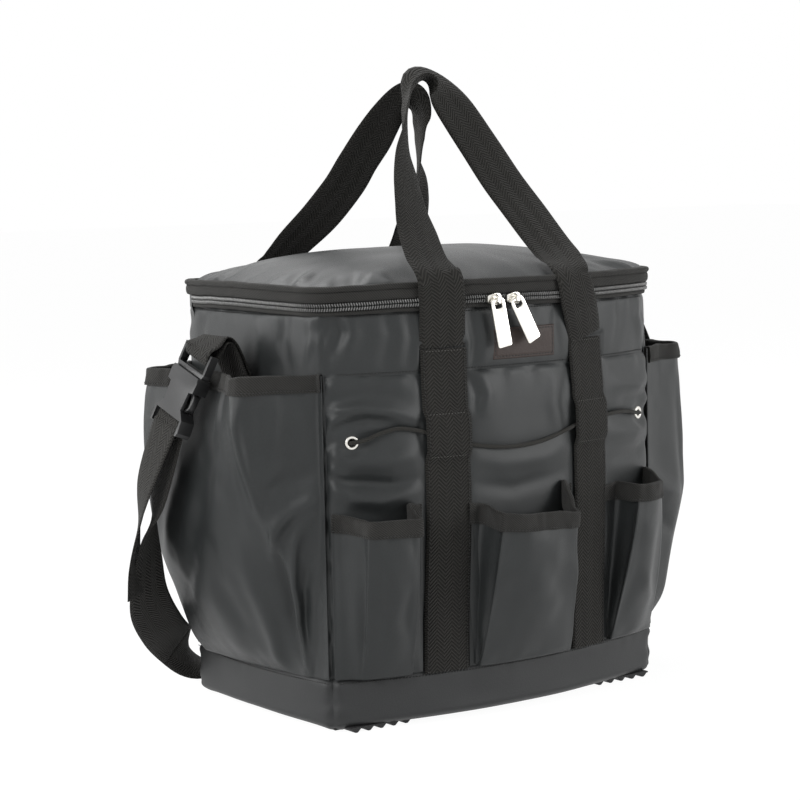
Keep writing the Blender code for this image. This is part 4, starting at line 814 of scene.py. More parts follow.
# %% [markdown]
# The base is wrapped in a coated band. Its top edge is sewn over the panels, it rolls under at the floor, and it
# droops a little at the corners, where nothing stiff is behind it. A row of stitches follows each seam a few
# millimetres from it.

# %% Base bands and body stitches
BAND_FOOT_Z, BAND_TURN_Z = 0.0045, 0.0110
CORNER_DROOP = 0.0040

for side in SIDES:
    half = half_of(side)
    t = np.linspace(-1, 1, int(2 * half / 0.0025) + 1)[None, :]
    z = np.concatenate([np.linspace(BAND_FOOT_Z, BAND_TURN_Z, 8), np.linspace(0.0125, SEAM_Z - 0.0002, 16)])[:, None]
    corner = half - np.abs(t * half)
    out = 0.0006 - 0.0066 * np.clip((BAND_TURN_Z - z) / 0.0065, 0, 1) ** 2 + 0 * t
    out = out + turned_in(corner, 0.0030, 0.0036) + turned_in(SEAM_Z - z, 0.0012, 0.0014)
    out = out + np.clip(corner / 0.004, 0, 1) * (puckers(z, corner, 0.0060, 0.0016, 0.009, 61)
                                                 + puckers(t * half, SEAM_Z - z, 0.0080, 0.0006, 0.006, 63)
                                                 + 0.0009 * lumps(t * half / 0.045, z / 0.020, 62))
    grid = wall(side, t + 0 * z, z + 0 * t, out)
    grid[..., 2] -= CORNER_DROOP * np.exp(-corner / 0.030) * np.clip((0.030 - z) / 0.0255, 0, 1)
    add_sheet(f"{side}_base_cloth", grid, coated, "bag", [f"{side}_base_band"],
              (t * half + 0 * z, z + 0 * t))
    row = wall(side, np.linspace(-0.97, 0.97, 120), SEAM_Z - 0.0026, 0.0008)
    stitches("bag", dark_thread, row, normals_of(np.stack([row, row + (0, 0, 0.001)]))[0])

for grid, rows in ((yoke_grid, [1, -2]), (back_grid, [-2]), (left_grid, [-2]), (right_grid, [-2])):
    away = normals_of(grid)
    for row in rows:
        stitches("bag", dark_thread, grid[row][4:-4], away[row][4:-4], lift=0.0003)
print("rows of stitches so far:", sum(len(b) for b in gathered.values()))

# %% [markdown]
# Under the bag the coated cloth closes the floor, and inside hangs a thin lining with a stiff board under it. All
# are the bag's outline drawn inwards: first down the walls, then towards the middle of the floor. That leaves
# one continuous skin, as sewn cloth is, and no edges that could gape.

# %% The floor of the bag and its lining
SIDE_POINTS = 60
RING = np.arange(4 * SIDE_POINTS)


def outline(out, z):
    """The bag's outline at a height, corner to corner all the way round."""
    outs = np.broadcast_to(out, len(RING)).reshape(4, SIDE_POINTS)
    t = np.linspace(-1, 1, SIDE_POINTS + 1)[:-1]
    return np.concatenate([wall(side, t, z, o) for side, o in zip(SIDES, outs)])


shares = np.linspace(1, 0.02, 26)
rim_of_floor = outline(-0.0062, BAND_FOOT_Z)
to_corner = np.minimum(RING % SIDE_POINTS, SIDE_POINTS - RING % SIDE_POINTS) / SIDE_POINTS * 0.28
under = np.stack([rim_of_floor * (k, k, 1) for k in shares])
under[..., 2] = 0.0046 + 0.0003 * lumps(under[..., 0] / 0.03, under[..., 1] / 0.03, 71)
under[..., 2] -= CORNER_DROOP * np.exp(-to_corner / 0.030)[None, :] * np.exp(-(1 - shares) / 0.10)[:, None]
add_sheet("base_cloth", under[:, ::-1], coated, "bag", ["base_panel"],
          (under[:, ::-1, 0], under[:, ::-1, 1]), ring=True)

heights = np.concatenate([np.linspace(RIM_Z - 0.0008, 0.020, 70), np.linspace(0.018, 0.0135, 5)])
skin = [outline(-0.0036 - 0.0004 * (1 + lumps(RING / 9.0, z / 0.03, 72)), z) for z in heights]
skin += [skin[-1] * (k, k, 1) for k in np.linspace(0.985, 0.02, 24)]
skin = np.stack(skin)
add_sheet("lining_cloth", skin[:, ::-1], lining, "bag", ["inner_lining"], ring=True)
frame["nodes"]["base_board"].data.materials.clear()
frame["nodes"]["base_board"].data.materials.append(board.material)
print("lining:", skin.shape)

# %% [markdown]
# ## The lid and its zip
#
# The lid is a padded tray: a crown of nylon, a bound edge, and a band of twill that hangs over the zip. All of
# them follow the same rounded outline, so one function gives that outline at any distance off the body, and a
# profile of distances and heights is swept round it.

# %% The rim's outline
SIDE_STEPS, CORNER_STEPS = 56, 14
STRETCH = SIDE_STEPS + CORNER_STEPS              # points from the start of one side to the start of the next
ZIP_END = 3 * STRETCH - (CORNER_STEPS - 1)       # three sides and the two corners between them
CORNERS = [i * STRETCH + SIDE_STEPS + CORNER_STEPS // 2 for i in range(4)]


def rim(out):
    """Outline of the rim from the back left corner, anticlockwise, with round corners, as flat points."""
    cut = 0.024
    runs, corners = [], []
    for side in ("left", "front", "right", "back"):
        half = half_of(side) + out
        end = 1 - cut / half
        runs.append(wall(side, np.linspace(-end, end, SIDE_STEPS + 1), RIM_Z, out)[:, :2])
        corners.append(wall(side, 1.0, RIM_Z, out)[0, :2])
    line = []
    for i, run in enumerate(runs):
        line.append(run)
        t = (np.arange(1, CORNER_STEPS) / CORNER_STEPS)[:, None]
        line.append((1 - t) ** 2 * run[-1] + 2 * t * (1 - t) * corners[i] + t ** 2 * runs[(i + 1) % 4][0])
    return np.concatenate(line)


around = walked(rim(0.0))
wave = 0.0007 * lumps(around / 0.060, 0.5, 81) + 0.0004 * lumps(around / 0.017, 0.5, 82)
wave = wave - 0.0018 * np.exp(-((around - around[CORNERS[0]]) / 0.045) ** 2)
print("rim's length:", around[-1].round(4), "and its zip ends at point", ZIP_END)

# %% [markdown]
# The tapes, the band and the binding are strips of one width each. A short profile across the strip, as pairs of
# distance and height, is repeated round the rim; the rim's slow wave keeps them from looking machined.

# %% Tapes, band and binding
def swept(name, profile, finish, body, stands_for, end=None, crumple=0.0):
    """Sweeps a profile of (distance off the body, height) round the rim, or only as far as the zip runs."""
    rows = []
    for k, (out, z) in enumerate(profile):
        height = z + wave + crumple * lumps(around / 0.009, k * 0.35, 90)
        rows.append(np.column_stack([rim(out), height]))
    grid = np.stack(rows)[:, :end]
    along, across = np.meshgrid(around[:grid.shape[1]], walked(profile))
    add_sheet(name, grid, finish, body, stands_for, (across, along), ring=end is None)


def bulged(out, low, high, proud, back, steps=7):
    """Profile of a soft band: from its lower inner edge, out round its face, to its upper inner edge."""
    angles = np.linspace(-math.pi / 2, math.pi / 2, steps)
    face = [(out + proud * math.cos(a) ** 0.7, (low + high) / 2 + (high - low) / 2 * math.sin(a)) for a in angles]
    return [(back, low)] + face + [(back, high)]


lower = [(-0.0020, 0.3166), (0.0016, 0.3163), (0.0030, 0.3170), (0.0033, 0.3185), (0.0028, 0.3199), (-0.0010, 0.3203)]
upper = [(-0.0010, 0.3253), (0.0026, 0.3255), (0.0030, 0.3266), (0.0028, 0.3276), (-0.0020, 0.3278)]
swept("lower_tape", lower, twill, "bag", ["lower_zip_tape"], ZIP_END, 0.0002)
swept("upper_tape", upper, twill, "lid", ["upper_zip_tape"], ZIP_END, 0.0002)
swept("lid_edge_band", bulged(0.0038, 0.3264, 0.3343, 0.0014, 0.0005),
      twill, "lid", ["lid_band"], crumple=0.0002)
swept("lid_edge_binding", bulged(0.0036, 0.3338, 0.3384, 0.0022, 0.0002, 9),
      twill, "lid", ["lid_binding"], crumple=0.0003)
print("points across a tape and across the binding:", len(lower), len(bulged(0, 0, 1, 1, 0, 9)))

# %% [markdown]
# Each row of teeth is a nylon coil sewn to its tape: from outside only the short outer turns show, leaning one
# way above and the other way below. A lozenge every 2 mm gives that at any distance, where a real coil would cost
# a hundred times the faces.

# %% Zip teeth
UP = np.array((0, 0, 1.0))
TOOTH_PITCH, TOOTH_HALF = 0.00200, (0.00165, 0.00056, 0.00100)


def coil_row(body, z, slant, stands_for, name):
    """A row of teeth along the zip's run, and the dark core that they are wound on."""
    line = np.column_stack([rim(0.0034)[:ZIP_END], z + wave[:ZIP_END]])
    walk = walked(line[:, :2])
    place = read_at(line, walk, np.arange(TOOTH_PITCH, walk[-1] - TOOTH_PITCH, TOOTH_PITCH))
    way = unit(np.gradient(place, axis=0) * (1, 1, 0))
    out = np.cross(way, UP)
    long = unit(UP + way * slant)
    lozenges(body, teeth, place + out * 0.0006, long, np.cross(out, long), out, *TOOTH_HALF)
    swept(name, [(0.0008, z - 0.0013), (0.0030, z - 0.0011), (0.0030, z + 0.0011), (0.0008, z + 0.0013)],
          dark_thread, body, stands_for, ZIP_END)
    print(name, "teeth:", len(place))


coil_row("bag", 0.32125, 0.35, ["lower_zip_coil"], "lower_coil_core")
coil_row("lid", 0.32445, -0.35, ["upper_zip_coil"], "upper_coil_core")

# %% [markdown]
# The crown is the same outline drawn in towards its middle and lifted. Cloth gathered at the binding makes short
# folds that run inwards, and they are deepest at the corners, where the most cloth has to go. The lining is the
# same surface again, a few millimetres below.

# %% Lid crown and lid lining
def close_middle(made, count):
    """Fills the small ring that is left in the middle of a sheet that was drawn inwards."""
    def fill(mesh):
        mesh.verts.ensure_lookup_table()
        mesh.faces.new(list(mesh.verts)[len(mesh.verts) - count:]).smooth = True
        bmesh.ops.recalc_face_normals(mesh, faces=mesh.faces)
    reshaped(made.data, fill)


CROWN_FOOT_Z, CROWN_RISE = 0.3368, 0.0225
edge_line = rim(0.0024)
spread = np.hypot(*edge_line.T)
corner_near = np.min([np.hypot(*(edge_line - rim(0.0012)[k]).T) for k in CORNERS], axis=0)
rows = []
for share in np.concatenate([np.linspace(1, 0.90, 16), np.linspace(0.89, 0.02, 58)]):
    away = (1 - share) * spread
    lift = CROWN_RISE * (1 - share ** 2.8) - 0.0012 * np.exp(-away / 0.004)
    fold = 0.0016 * np.exp(-away / 0.012) * lumps(around / 0.0085, share * 3, 101)
    for high, near, start, reach, run, seed in ((0.0046, 0.070, 0.016, 0.018, around / 0.0120 + away * 22, 102),
                                                (0.0030, 0.110, 0.030, 0.022, around / 0.022, 104)):
        near_corner = np.exp(-(corner_near / near) ** 2) * np.exp(-((away - start) / reach) ** 2)
        fold = fold + high * near_corner * lumps(run, share * 2, seed)
    fold = fold + 0.0022 * lumps(edge_line[:, 0] * share / 0.06, edge_line[:, 1] * share / 0.04, 103) * (1 - share)
    height = CROWN_FOOT_Z + lift + fold * min(1, (1 - share) * 60) + wave * share
    rows.append(np.column_stack([edge_line * share, height]))
crown_grid = np.stack(rows)
crown = add_sheet("lid_crown", crown_grid, canvas, "lid", ["lid_top"],
                  (crown_grid[..., 0], crown_grid[..., 1]), ring=True)
close_middle(crown, len(around))
inner = (crown_grid * (0.985, 0.985, 1) - (0, 0, 0.0072))[:, ::-1]
lid_lining = add_sheet("lid_lining_cloth", inner, lining, "lid", ["lid_lining"],
                       (inner[..., 0], inner[..., 1]), ring=True)
close_middle(lid_lining, len(around))
print("crown:", crown_grid.shape, "top at", crown_grid[..., 2].max().round(4))

# %% [markdown]
# The lid has no metal hinge: a strip of cloth joins it to the back panel and bends. It is one sheet that reaches
# from the bag at its foot to the lid at its top.

# %% Cloth hinge
strip = []
for z in np.linspace(0.3085, 0.3285, 16):
    tucked = 0.0012 * min(1, max(0, (RIM_Z - z) / 0.006))
    line = rim(0.0030 - tucked)[ZIP_END + 3:]
    strip.append(np.column_stack([line, np.full(len(line), z)]))
hinge_cloth = add_sheet("hinge_cloth", np.stack(strip), canvas, None, ["lid_hinge_strip"])
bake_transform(hinge_cloth)
print("hinge:", np.stack(strip).shape)

# %% [markdown]
# ## Webbing
#
# A strap is a path with a width direction at each point. The path is smoothed first, the cross-section is a thin
# flat oval, and the finish reads the distance across and along. A curve object with a bevel makes straps too, but
# its twist can't be told at each point, and the twist is what makes webbing look like webbing.

# %% A strap from its path
def strap(name, middle, finish, body, stands_for, thick=WEB_THICK):
    """Webbing from a grid of middle points, rows along it and columns across it."""
    rows, columns = middle.shape[:2]
    away = normals_of(middle)
    place = np.linspace(-1, 1, columns)
    full = thick / 2 * np.clip(1 - np.abs(place) ** 10, 0, 1) ** 0.5
    full = np.maximum(full, thick * 0.12)[None, :, None]
    ring = np.concatenate([middle + away * full, (middle - away * full)[:, ::-1]], axis=1)
    across = np.concatenate([place, place[::-1]]) * WEB / 2
    lengths = np.meshgrid(across, walked(middle[:, columns // 2]))
    made = add_sheet(name, ring, finish, body, stands_for, lengths, ring=True)

    def close_ends(mesh):
        mesh.verts.ensure_lookup_table()
        count = ring.shape[1]
        for row in (range(count - 1, -1, -1), range((rows - 1) * count, rows * count)):
            mesh.faces.new([mesh.verts[i] for i in row]).smooth = False
        bmesh.ops.recalc_face_normals(mesh, faces=mesh.faces)
    reshaped(made.data, close_ends)
    return made, away


def ribbon_grid(path, across, columns=13):
    """Middle points of a free strap: its width runs along across, square to the path."""
    ahead_of = unit(np.gradient(path, axis=0))
    side = unit(across - ahead_of * (across * ahead_of).sum(1, keepdims=True))
    place = np.linspace(-1, 1, columns)
    return path[:, None] + side[:, None] * (place * WEB / 2)[None, :, None]


def edge_stitches(body, middle, away):
    """Stitches along both long edges of a strap."""
    inset, last = 0.06, middle.shape[1] - 1
    for at in (inset * last, (1 - inset) * last):
        i = int(at)
        line = middle[:, i] + (middle[:, i + 1] - middle[:, i]) * (at - i)
        stitches(body, dark_thread, line + away[:, i] * WEB_THICK / 2, away[:, i], 0.0026, 0.0016, 0.00034)


def cross_stitches(body, middle, away, z):
    """A row of stitches across a strap at a height."""
    row = int(np.argmin(np.abs(middle[:, middle.shape[1] // 2, 2] - z)))
    line = middle[row] + away[row] * WEB_THICK / 2
    stitches(body, grey_thread, line[1:-1], away[row][1:-1], 0.0026, 0.0018, 0.00036)


print("a strap is", WEB * 1000, "mm wide and", WEB_THICK * 1000, "mm thick")

# %% [markdown]
# The handles' straps are sewn down from the base to just under the rim. At the front they stand off the wall
# between two cross seams, so that the elastic cord can run beneath them.

# %% Sewn straps
STRAP_FOOT_Z, STRAP_TOP_Z = 0.0395, 0.2872
TUNNEL_LOW_Z, TUNNEL_TOP_Z, TUNNEL_EASE = 0.2010, 0.2430, 0.010


def sewn_middle(end, sign):
    """Middle points of a sewn strap, from its foot to its last seam; sign is -1 on the left."""
    x = sign * STRAP_X + np.linspace(-WEB / 2, WEB / 2, 13)[None, :]
    z = np.linspace(STRAP_FOOT_Z, STRAP_TOP_Z, 150)[:, None]
    lift = 0.0012 + 0.0002 * lumps(x / 0.02, z / 0.03, 111)
    if end == "back":
        return back_at(x + 0 * z, z + 0 * x, lift)[:, ::-1]
    low = eased(np.clip((z - TUNNEL_LOW_Z) / TUNNEL_EASE, 0, 1))
    high = eased(np.clip((TUNNEL_TOP_Z - z) / TUNNEL_EASE, 0, 1))
    bow = 0.0035 * np.exp(-((z - 0.17) / 0.07) ** 2)
    if sign > 0:
        bow = bow - 0.0031 * np.clip((z - 0.250) / 0.032, 0, 1)
    return front_at(x + bow, z + 0 * x, lift + 0.0036 * low * high)


for end, seams in (("front", (0.206, 0.238, 0.2850)), ("back", (0.2850,))):
    for side, sign in (("left", -1), ("right", 1)):
        middle = sewn_middle(end, sign)
        _, away = strap(f"{end}_{side}_sewn_webbing", middle, webbing, "bag", [f"{end}_{side}_sewn_strap"])
        edge_stitches("bag", middle, away)
        for z in seams:
            cross_stitches("bag", middle, away, z)
        print(end, side, "sewn strap:", middle.shape)

# %% [markdown]
# Above their last seam the straps are free. They run up past the lid, turn in over it and meet in a loop, which
# twists on its way as webbing does when both ends are sewn flat and the grip is let fall. The twist is a row of
# width directions, one for each point of the path, read from how wide the strap looks in the photograph.

# %% Paths of the handles
FRONT_LOOP = [
    (-0.0706, -0.1272, 0.2880), (-0.0722, -0.1302, 0.3088), (-0.0743, -0.1328, 0.3240), (-0.0768, -0.1348, 0.3372),
    (-0.0788, -0.1315, 0.3462), (-0.0769, -0.1170, 0.3567), (-0.0710, -0.0970, 0.3773), (-0.0667, -0.0840, 0.3961),
    (-0.0626, -0.0750, 0.4098), (-0.0541, -0.0620, 0.4290), (-0.0449, -0.0500, 0.4484), (-0.0362, -0.0380, 0.4665),
    (-0.0257, -0.0280, 0.4802), (-0.0085, -0.0210, 0.4930), (0.0061, -0.0225, 0.4862), (0.0181, -0.0300, 0.4682),
    (0.0326, -0.0430, 0.4382), (0.0420, -0.0600, 0.4099), (0.0503, -0.0770, 0.3866), (0.0557, -0.1010, 0.3605),
    (0.0545, -0.1170, 0.3500), (0.0500, -0.1315, 0.3420), (0.0512, -0.1368, 0.3324), (0.0578, -0.1343, 0.3155),
    (0.0640, -0.1306, 0.3012), (0.0675, -0.1287, 0.2880)]
FRONT_WAYS = [
    (1, -0.185, 0), (1, -0.19, 0), (1, -0.19, 0), (1, -0.19, 0), (1, -0.1, 0), (1, 0.05, 0), (0.987, 0.16, 0),
    (0.929, 0.37, 0), (0.885, 0.466, 0), (0.805, 0.593, 0), (0.62, 0.78, -0.05), (0.48, 0.87, -0.12),
    (0.52, 0.84, -0.10), (0.50, 0.74, 0.30), (0.60, 0.50, 0.55), (0.75, 0.20, 0.55), (0.85, 0.10, 0.45),
    (0.884, 0.054, 0.40), (0.90, 0.05, 0.38), (0.93, 0.05, 0.30), (0.97, 0.05, 0.15), (1, 0.12, 0),
    (0.985, 0.17, 0), (0.985, 0.17, 0), (0.985, 0.17, 0), (0.985, 0.17, 0)]
BACK_LOOP = [
    (-0.0706, 0.1115, 0.2880), (-0.0690, 0.1165, 0.3130), (-0.0670, 0.1195, 0.3380), (-0.0610, 0.1130, 0.3500),
    (-0.0530, 0.1010, 0.3640), (-0.0400, 0.0800, 0.3857), (-0.0310, 0.0600, 0.4085), (-0.0256, 0.0460, 0.4279),
    (-0.0177, 0.0350, 0.4470), (-0.0101, 0.0290, 0.4614), (-0.0010, 0.0255, 0.4730), (0.0080, 0.0245, 0.4775),
    (0.0165, 0.0250, 0.4750), (0.0240, 0.0270, 0.4670), (0.0265, 0.0310, 0.4540), (0.0288, 0.0360, 0.4416),
    (0.0342, 0.0440, 0.4251), (0.0400, 0.0540, 0.4085), (0.0481, 0.0700, 0.3916), (0.0570, 0.0890, 0.3740),
    (0.0640, 0.1060, 0.3570), (0.0670, 0.1195, 0.3400), (0.0690, 0.1165, 0.3130), (0.0706, 0.1115, 0.2880)]
BACK_WAYS = [
    (1, 0.065, 0), (1, 0.065, 0), (1, 0.065, 0), (0.98, 0.1, -0.1), (0.93, 0.12, -0.35), (0.855, 0.123, -0.52),
    (0.855, 0.123, -0.52), (0.855, 0.123, -0.52), (0.855, 0.123, -0.52), (0.80, 0.25, -0.56), (0.72, 0.40, -0.60),
    (0.646, 0.493, -0.62), (0.50, 0.70, -0.5), (0.33, 0.92, -0.2), (0.36, 0.93, 0), (0.47, 0.88, 0),
    (0.58, 0.81, 0), (0.75, 0.66, 0), (0.88, 0.47, 0), (0.95, 0.3, 0), (0.99, 0.1, 0), (1, -0.065, 0),
    (1, -0.065, 0), (1, -0.065, 0)]
print("points of the two loops:", len(FRONT_LOOP), "and", len(BACK_LOOP))

# %% [markdown]
# One handle bends at two places: at its last seam and where it turns in over the lid. The mesh stays whole,
# because a cut there would gape as soon as the handle swings.

# %% Handles
def handle(end, path, ways):
    """One handle: free strap, knee, loop, knee and free strap, as one length of webbing."""
    path, ways = curve_through(path, 8), curve_through(ways, 8)
    legs = np.clip((0.40 - path[:, 2]) / 0.05, 0, 1)
    middle = ribbon_grid(path, ways)
    place = np.linspace(-1, 1, middle.shape[1])
    sign = -1 if end == "front" else 1
    middle[..., 1] -= sign * 0.0016 * legs[:, None] * (place ** 2)[None]
    s, z = np.meshgrid(place, np.arange(len(path)))
    middle[..., 1] += 0.0006 * lumps(s / 0.9, z / 7.0, 301)
    made, _ = strap(f"{end}_handle_webbing", middle, webbing, None,
                    [f"{end}_left_free_strap", f"{end}_right_free_strap", f"{end}_handle_loop"])
    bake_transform(made)
    print(end, "handle:", walked(path)[-1].round(3), "m of webbing")


handle("front", FRONT_LOOP, FRONT_WAYS)
handle("back", BACK_LOOP, BACK_WAYS)

# %% [markdown]
# ## Pockets
#
# A bellows pocket is cut wider than its place: its side strips fold inwards and its front stands off on two
# creases. In plan that is a short line of key points, which is smoothed and changes from foot to mouth. The
# binding is the same surface again, a little further out, folded over the mouth.

# %% A pocket and its binding
BINDING_DEEP = 0.0122


def bound_pocket(name, grid, stands_for, trim_for, seed, folds):
    """A pocket's cloth from its foot to its mouth, and the twill folded over the mouth."""
    away = normals_of(grid)
    up, run = walked(grid[:, grid.shape[1] // 2]), walked(grid[-1])
    s, z = np.meshgrid(run, up)
    from_mouth = up[-1] - z
    shift = 0.0013 * np.exp(-np.clip(from_mouth - 0.012, 0, 1) / 0.016) * lumps(s / 0.0085, z / 0.040, seed)
    shift = shift + 0.0009 * lumps(s / 0.020, z / 0.050, seed + 1) + 0.0004 * lumps(s / 0.010, z / 0.016, seed + 5)
    shift = shift + puckers(s, z, 0.0080, 0.0010, 0.008, seed + 6) + folds
    shift = shift * np.clip(z / 0.005, 0, 1) * np.clip(np.minimum(s, run[-1] - s) / 0.006, 0, 1)
    grid = grid + away * shift[..., None]
    add_sheet(name, grid, canvas, "bag", stands_for, (s, z), thick=0.0011)

    low = int(np.argmin(np.abs(from_mouth[:, 0] - BINDING_DEEP)))
    away, s, z = normals_of(grid)[low:], s[low:], z[low:]
    crumple = 0.0009 * lumps(s / 0.0050, z / 0.009, seed + 2) + 0.0011 * lumps(s / 0.010, 0.5, seed)
    sway = 0.0013 * lumps(s / 0.015, 0.5, seed + 7) * np.clip((z - z[0, 0]) / 0.006, 0, 1)
    middle = grid[low:] + (0, 0, 1) * sway[..., None]
    outer = middle + away * (0.0018 + crumple)[..., None]
    inner = middle - away * (0.0021 - crumple * 0.5)[..., None]
    over = [outer[-1] * k + inner[-1] * (1 - k) + (0, 0, 0.0010) for k in (0.75, 0.25)]
    fold = np.concatenate([outer, np.stack(over), inner[::-1]])
    add_sheet(name.replace("cloth", "binding"), fold, twill, "bag", trim_for,
              np.meshgrid(run, walked(fold[:, 0])))
    stitches("bag", dark_thread, outer[1], away[1], 0.0028, 0.0018, 0.00040, 0.0002)
    print(name, grid.shape, "mouth", run[-1].round(3), "m round")


print("a binding is", BINDING_DEEP * 1000, "mm deep")

# %% [markdown]
# Each front pocket stands off on two creases, which come closer together towards the mouth. Between its seams the
# mouth hangs a little lower than at them, most in the middle pocket. What differs between the three is a row of
# numbers each, so that one function makes them all.

# %% Plan of a front pocket
POCKET_FOOT_Z, MOUTH_Z = 0.0412, 0.1660
# The two seams, the two creases at the mouth and at the foot, all across the bag; then how far each crease dips.
FRONT_POCKETS = {
    "left": (-0.1580, -0.0904, -0.1455, -0.1078, -0.1420, -0.1034, (0.003, 0.004)),
    "centre": (-0.0508, 0.0508, -0.0386, 0.0340, -0.0445, 0.0437, (0.006, 0.011)),
    "right": (0.0904, 0.1580, 0.1102, 0.1445, 0.0945, 0.1500, (0.0, 0.0)),
}
# How far the mouth rises at the right seam; how far the left side strip's fold stands off, and where, as shares.
FRONT_BELLOWS = {"left": (0.0060, 0.24, 0.55), "centre": (0.0095, 0.10, 0.80), "right": (0.0080, 0.10, 0.80)}
KEY_STEPS = 7


def front_plan(side, share):
    """The pocket's line at a share of its height: across the bag, off the wall, and down."""
    x0, x1, mouth0, mouth1, foot0, foot1, dips = FRONT_POCKETS[side]
    rise, hug, fold_at = FRONT_BELLOWS[side]
    rise = rise * share ** 5
    ease = eased(share)
    stand = 0.006 + 0.022 * share * (1.6 - 0.6 * share)
    belly = 0.0036 * math.sin(math.pi * share) + 0.0014
    a, b = foot0 + (mouth0 - foot0) * ease, foot1 + (mouth1 - foot1) * ease
    d0, d1 = dips[0] * share ** 2, dips[1] * share ** 2
    left_fold, right_fold = x0 + 0.003 + (a - x0 - 0.003) * fold_at, x1 - 0.003 + (b - x1 + 0.003) * 0.70
    key = [(x0, 0.0, 0), (x0 + 0.0030, 0.0004, 0), (left_fold, stand * hug, d0 * 0.2),
           (a - 0.0008, stand * 0.80, d0 * 0.9), (a + 0.0022, stand, d0)]
    for k in (0.2, 0.4, 0.6, 0.8):
        key.append((a + (b - a) * k, stand + belly * math.sin(math.pi * k), d0 + (d1 - d0) * k))
    key += [(b - 0.0022, stand, d1), (b + 0.0012, stand * 0.80, d1 * 0.8 - rise * 0.1),
            (right_fold, stand * 0.22, -rise), (x1 - 0.0030, 0.0004, -rise * 0.7), (x1, 0.0, -rise * 0.7)]
    return curve_through(key, KEY_STEPS)


print("points round the centre pocket's mouth:", len(front_plan("centre", 1.0)))

# %% [markdown]
# The cloth remembers how it was folded in the packing: a sharp crease runs down at each edge of the front, with a
# groove beside it, and a few small folds lie at random between the two.

# %% Front pockets
STRIP = 0.030      # what each strip of the pocket, from seam to crease and on, counts in the folds' lengths
CREASES = ((STRIP, 1), (2 * STRIP, -1))
# Folds beside a crease, by distance from it towards the pocket's middle and height; then width and height.
CREASE_FOLDS = (
    ([(0, 0.160), (0, 0.110), (0, 0.050)], 0.0022, 0.0014),
    ([(-0.008, 0.158), (-0.007, 0.1), (-0.005, 0.052)], 0.0045, -0.0034),
    ([(0.006, 0.150), (0.0075, 0.1), (0.005, 0.052)], 0.0040, -0.0012))


def front_pocket(side, seed):
    """One front pocket with its creases, its random folds and its binding."""
    rows, turns = [], []
    for share in np.linspace(0, 1, 80):
        z = POCKET_FOOT_Z + (MOUTH_Z - POCKET_FOOT_Z) * share
        key = front_plan(side, share)
        y = front_at(key[:, 0], z)[:, 1] - (key[:, 1] + 0.0010)
        rows.append(np.column_stack([key[:, 0], y, z - key[:, 2]]))
        turns.append(np.interp(np.arange(len(key)) / KEY_STEPS, [1, 3.5, 9.5, 12], [0, 1, 2, 3]))
    z, place = np.stack(rows)[..., 2], np.array(turns) * STRIP
    folds = 0
    for crease, turn in CREASES:
        lines = [([(crease + turn * s, h) for s, h in line], wide, height) for line, wide, height in CREASE_FOLDS]
        folds = folds + folded(place, z, lines)
    rng = np.random.default_rng(seed)
    for _ in range(5):
        start, fall = rng.uniform(0.034, 0.056), rng.uniform(-0.010, 0.010)
        high = rng.uniform(0.085, 0.148)
        line = [(start, high), (start + fall * 0.5, high - 0.016), (start + fall, high - 0.030)]
        folds = folds + ridge(place, z, line, rng.uniform(0.0030, 0.0050), rng.uniform(-0.0016, 0.0016))
    bound_pocket(f"{side}_front_pocket_cloth", np.stack(rows), [f"{side}_front_pocket"],
                 [f"{side}_pocket_trim"], seed, folds)


for seed, side in ((121, "left"), (131, "centre"), (141, "right")):
    front_pocket(side, seed)

# %% [markdown]
# The two side pockets reach most of the way up the walls and stand out furthest above mid height. The left one
# shows best in the photograph: it is fuller at the back, and its long folds fan out between crease and seam.

# %% Shape and folds of the side pockets
SIDE_MOUTH_Z, SIDE_EDGE, SIDE_CREASES = 0.2710, 0.0960, (-0.070, 0.063)
SIDE_KEY_STEPS = 9
# By share of the height: how far the front crease, the middle and the back crease stand off the corner seams.
SIDE_PROFILE = {
    "left": [(0.0, 0.008, 0.014, 0.014), (0.08, 0.012, 0.028, 0.027), (0.25, 0.017, 0.047, 0.042),
             (0.45, 0.034, 0.059, 0.057), (0.65, 0.054, 0.059, 0.063), (0.83, 0.064, 0.052, 0.064),
             (1.0, 0.059, 0.043, 0.059)],
    "right": [(0.0, 0.018, 0.016, 0.018), (0.08, 0.039, 0.034, 0.039), (0.25, 0.051, 0.046, 0.051),
              (0.45, 0.064, 0.056, 0.064), (0.65, 0.065, 0.056, 0.065), (0.83, 0.062, 0.050, 0.062),
              (1.0, 0.059, 0.043, 0.059)],
}
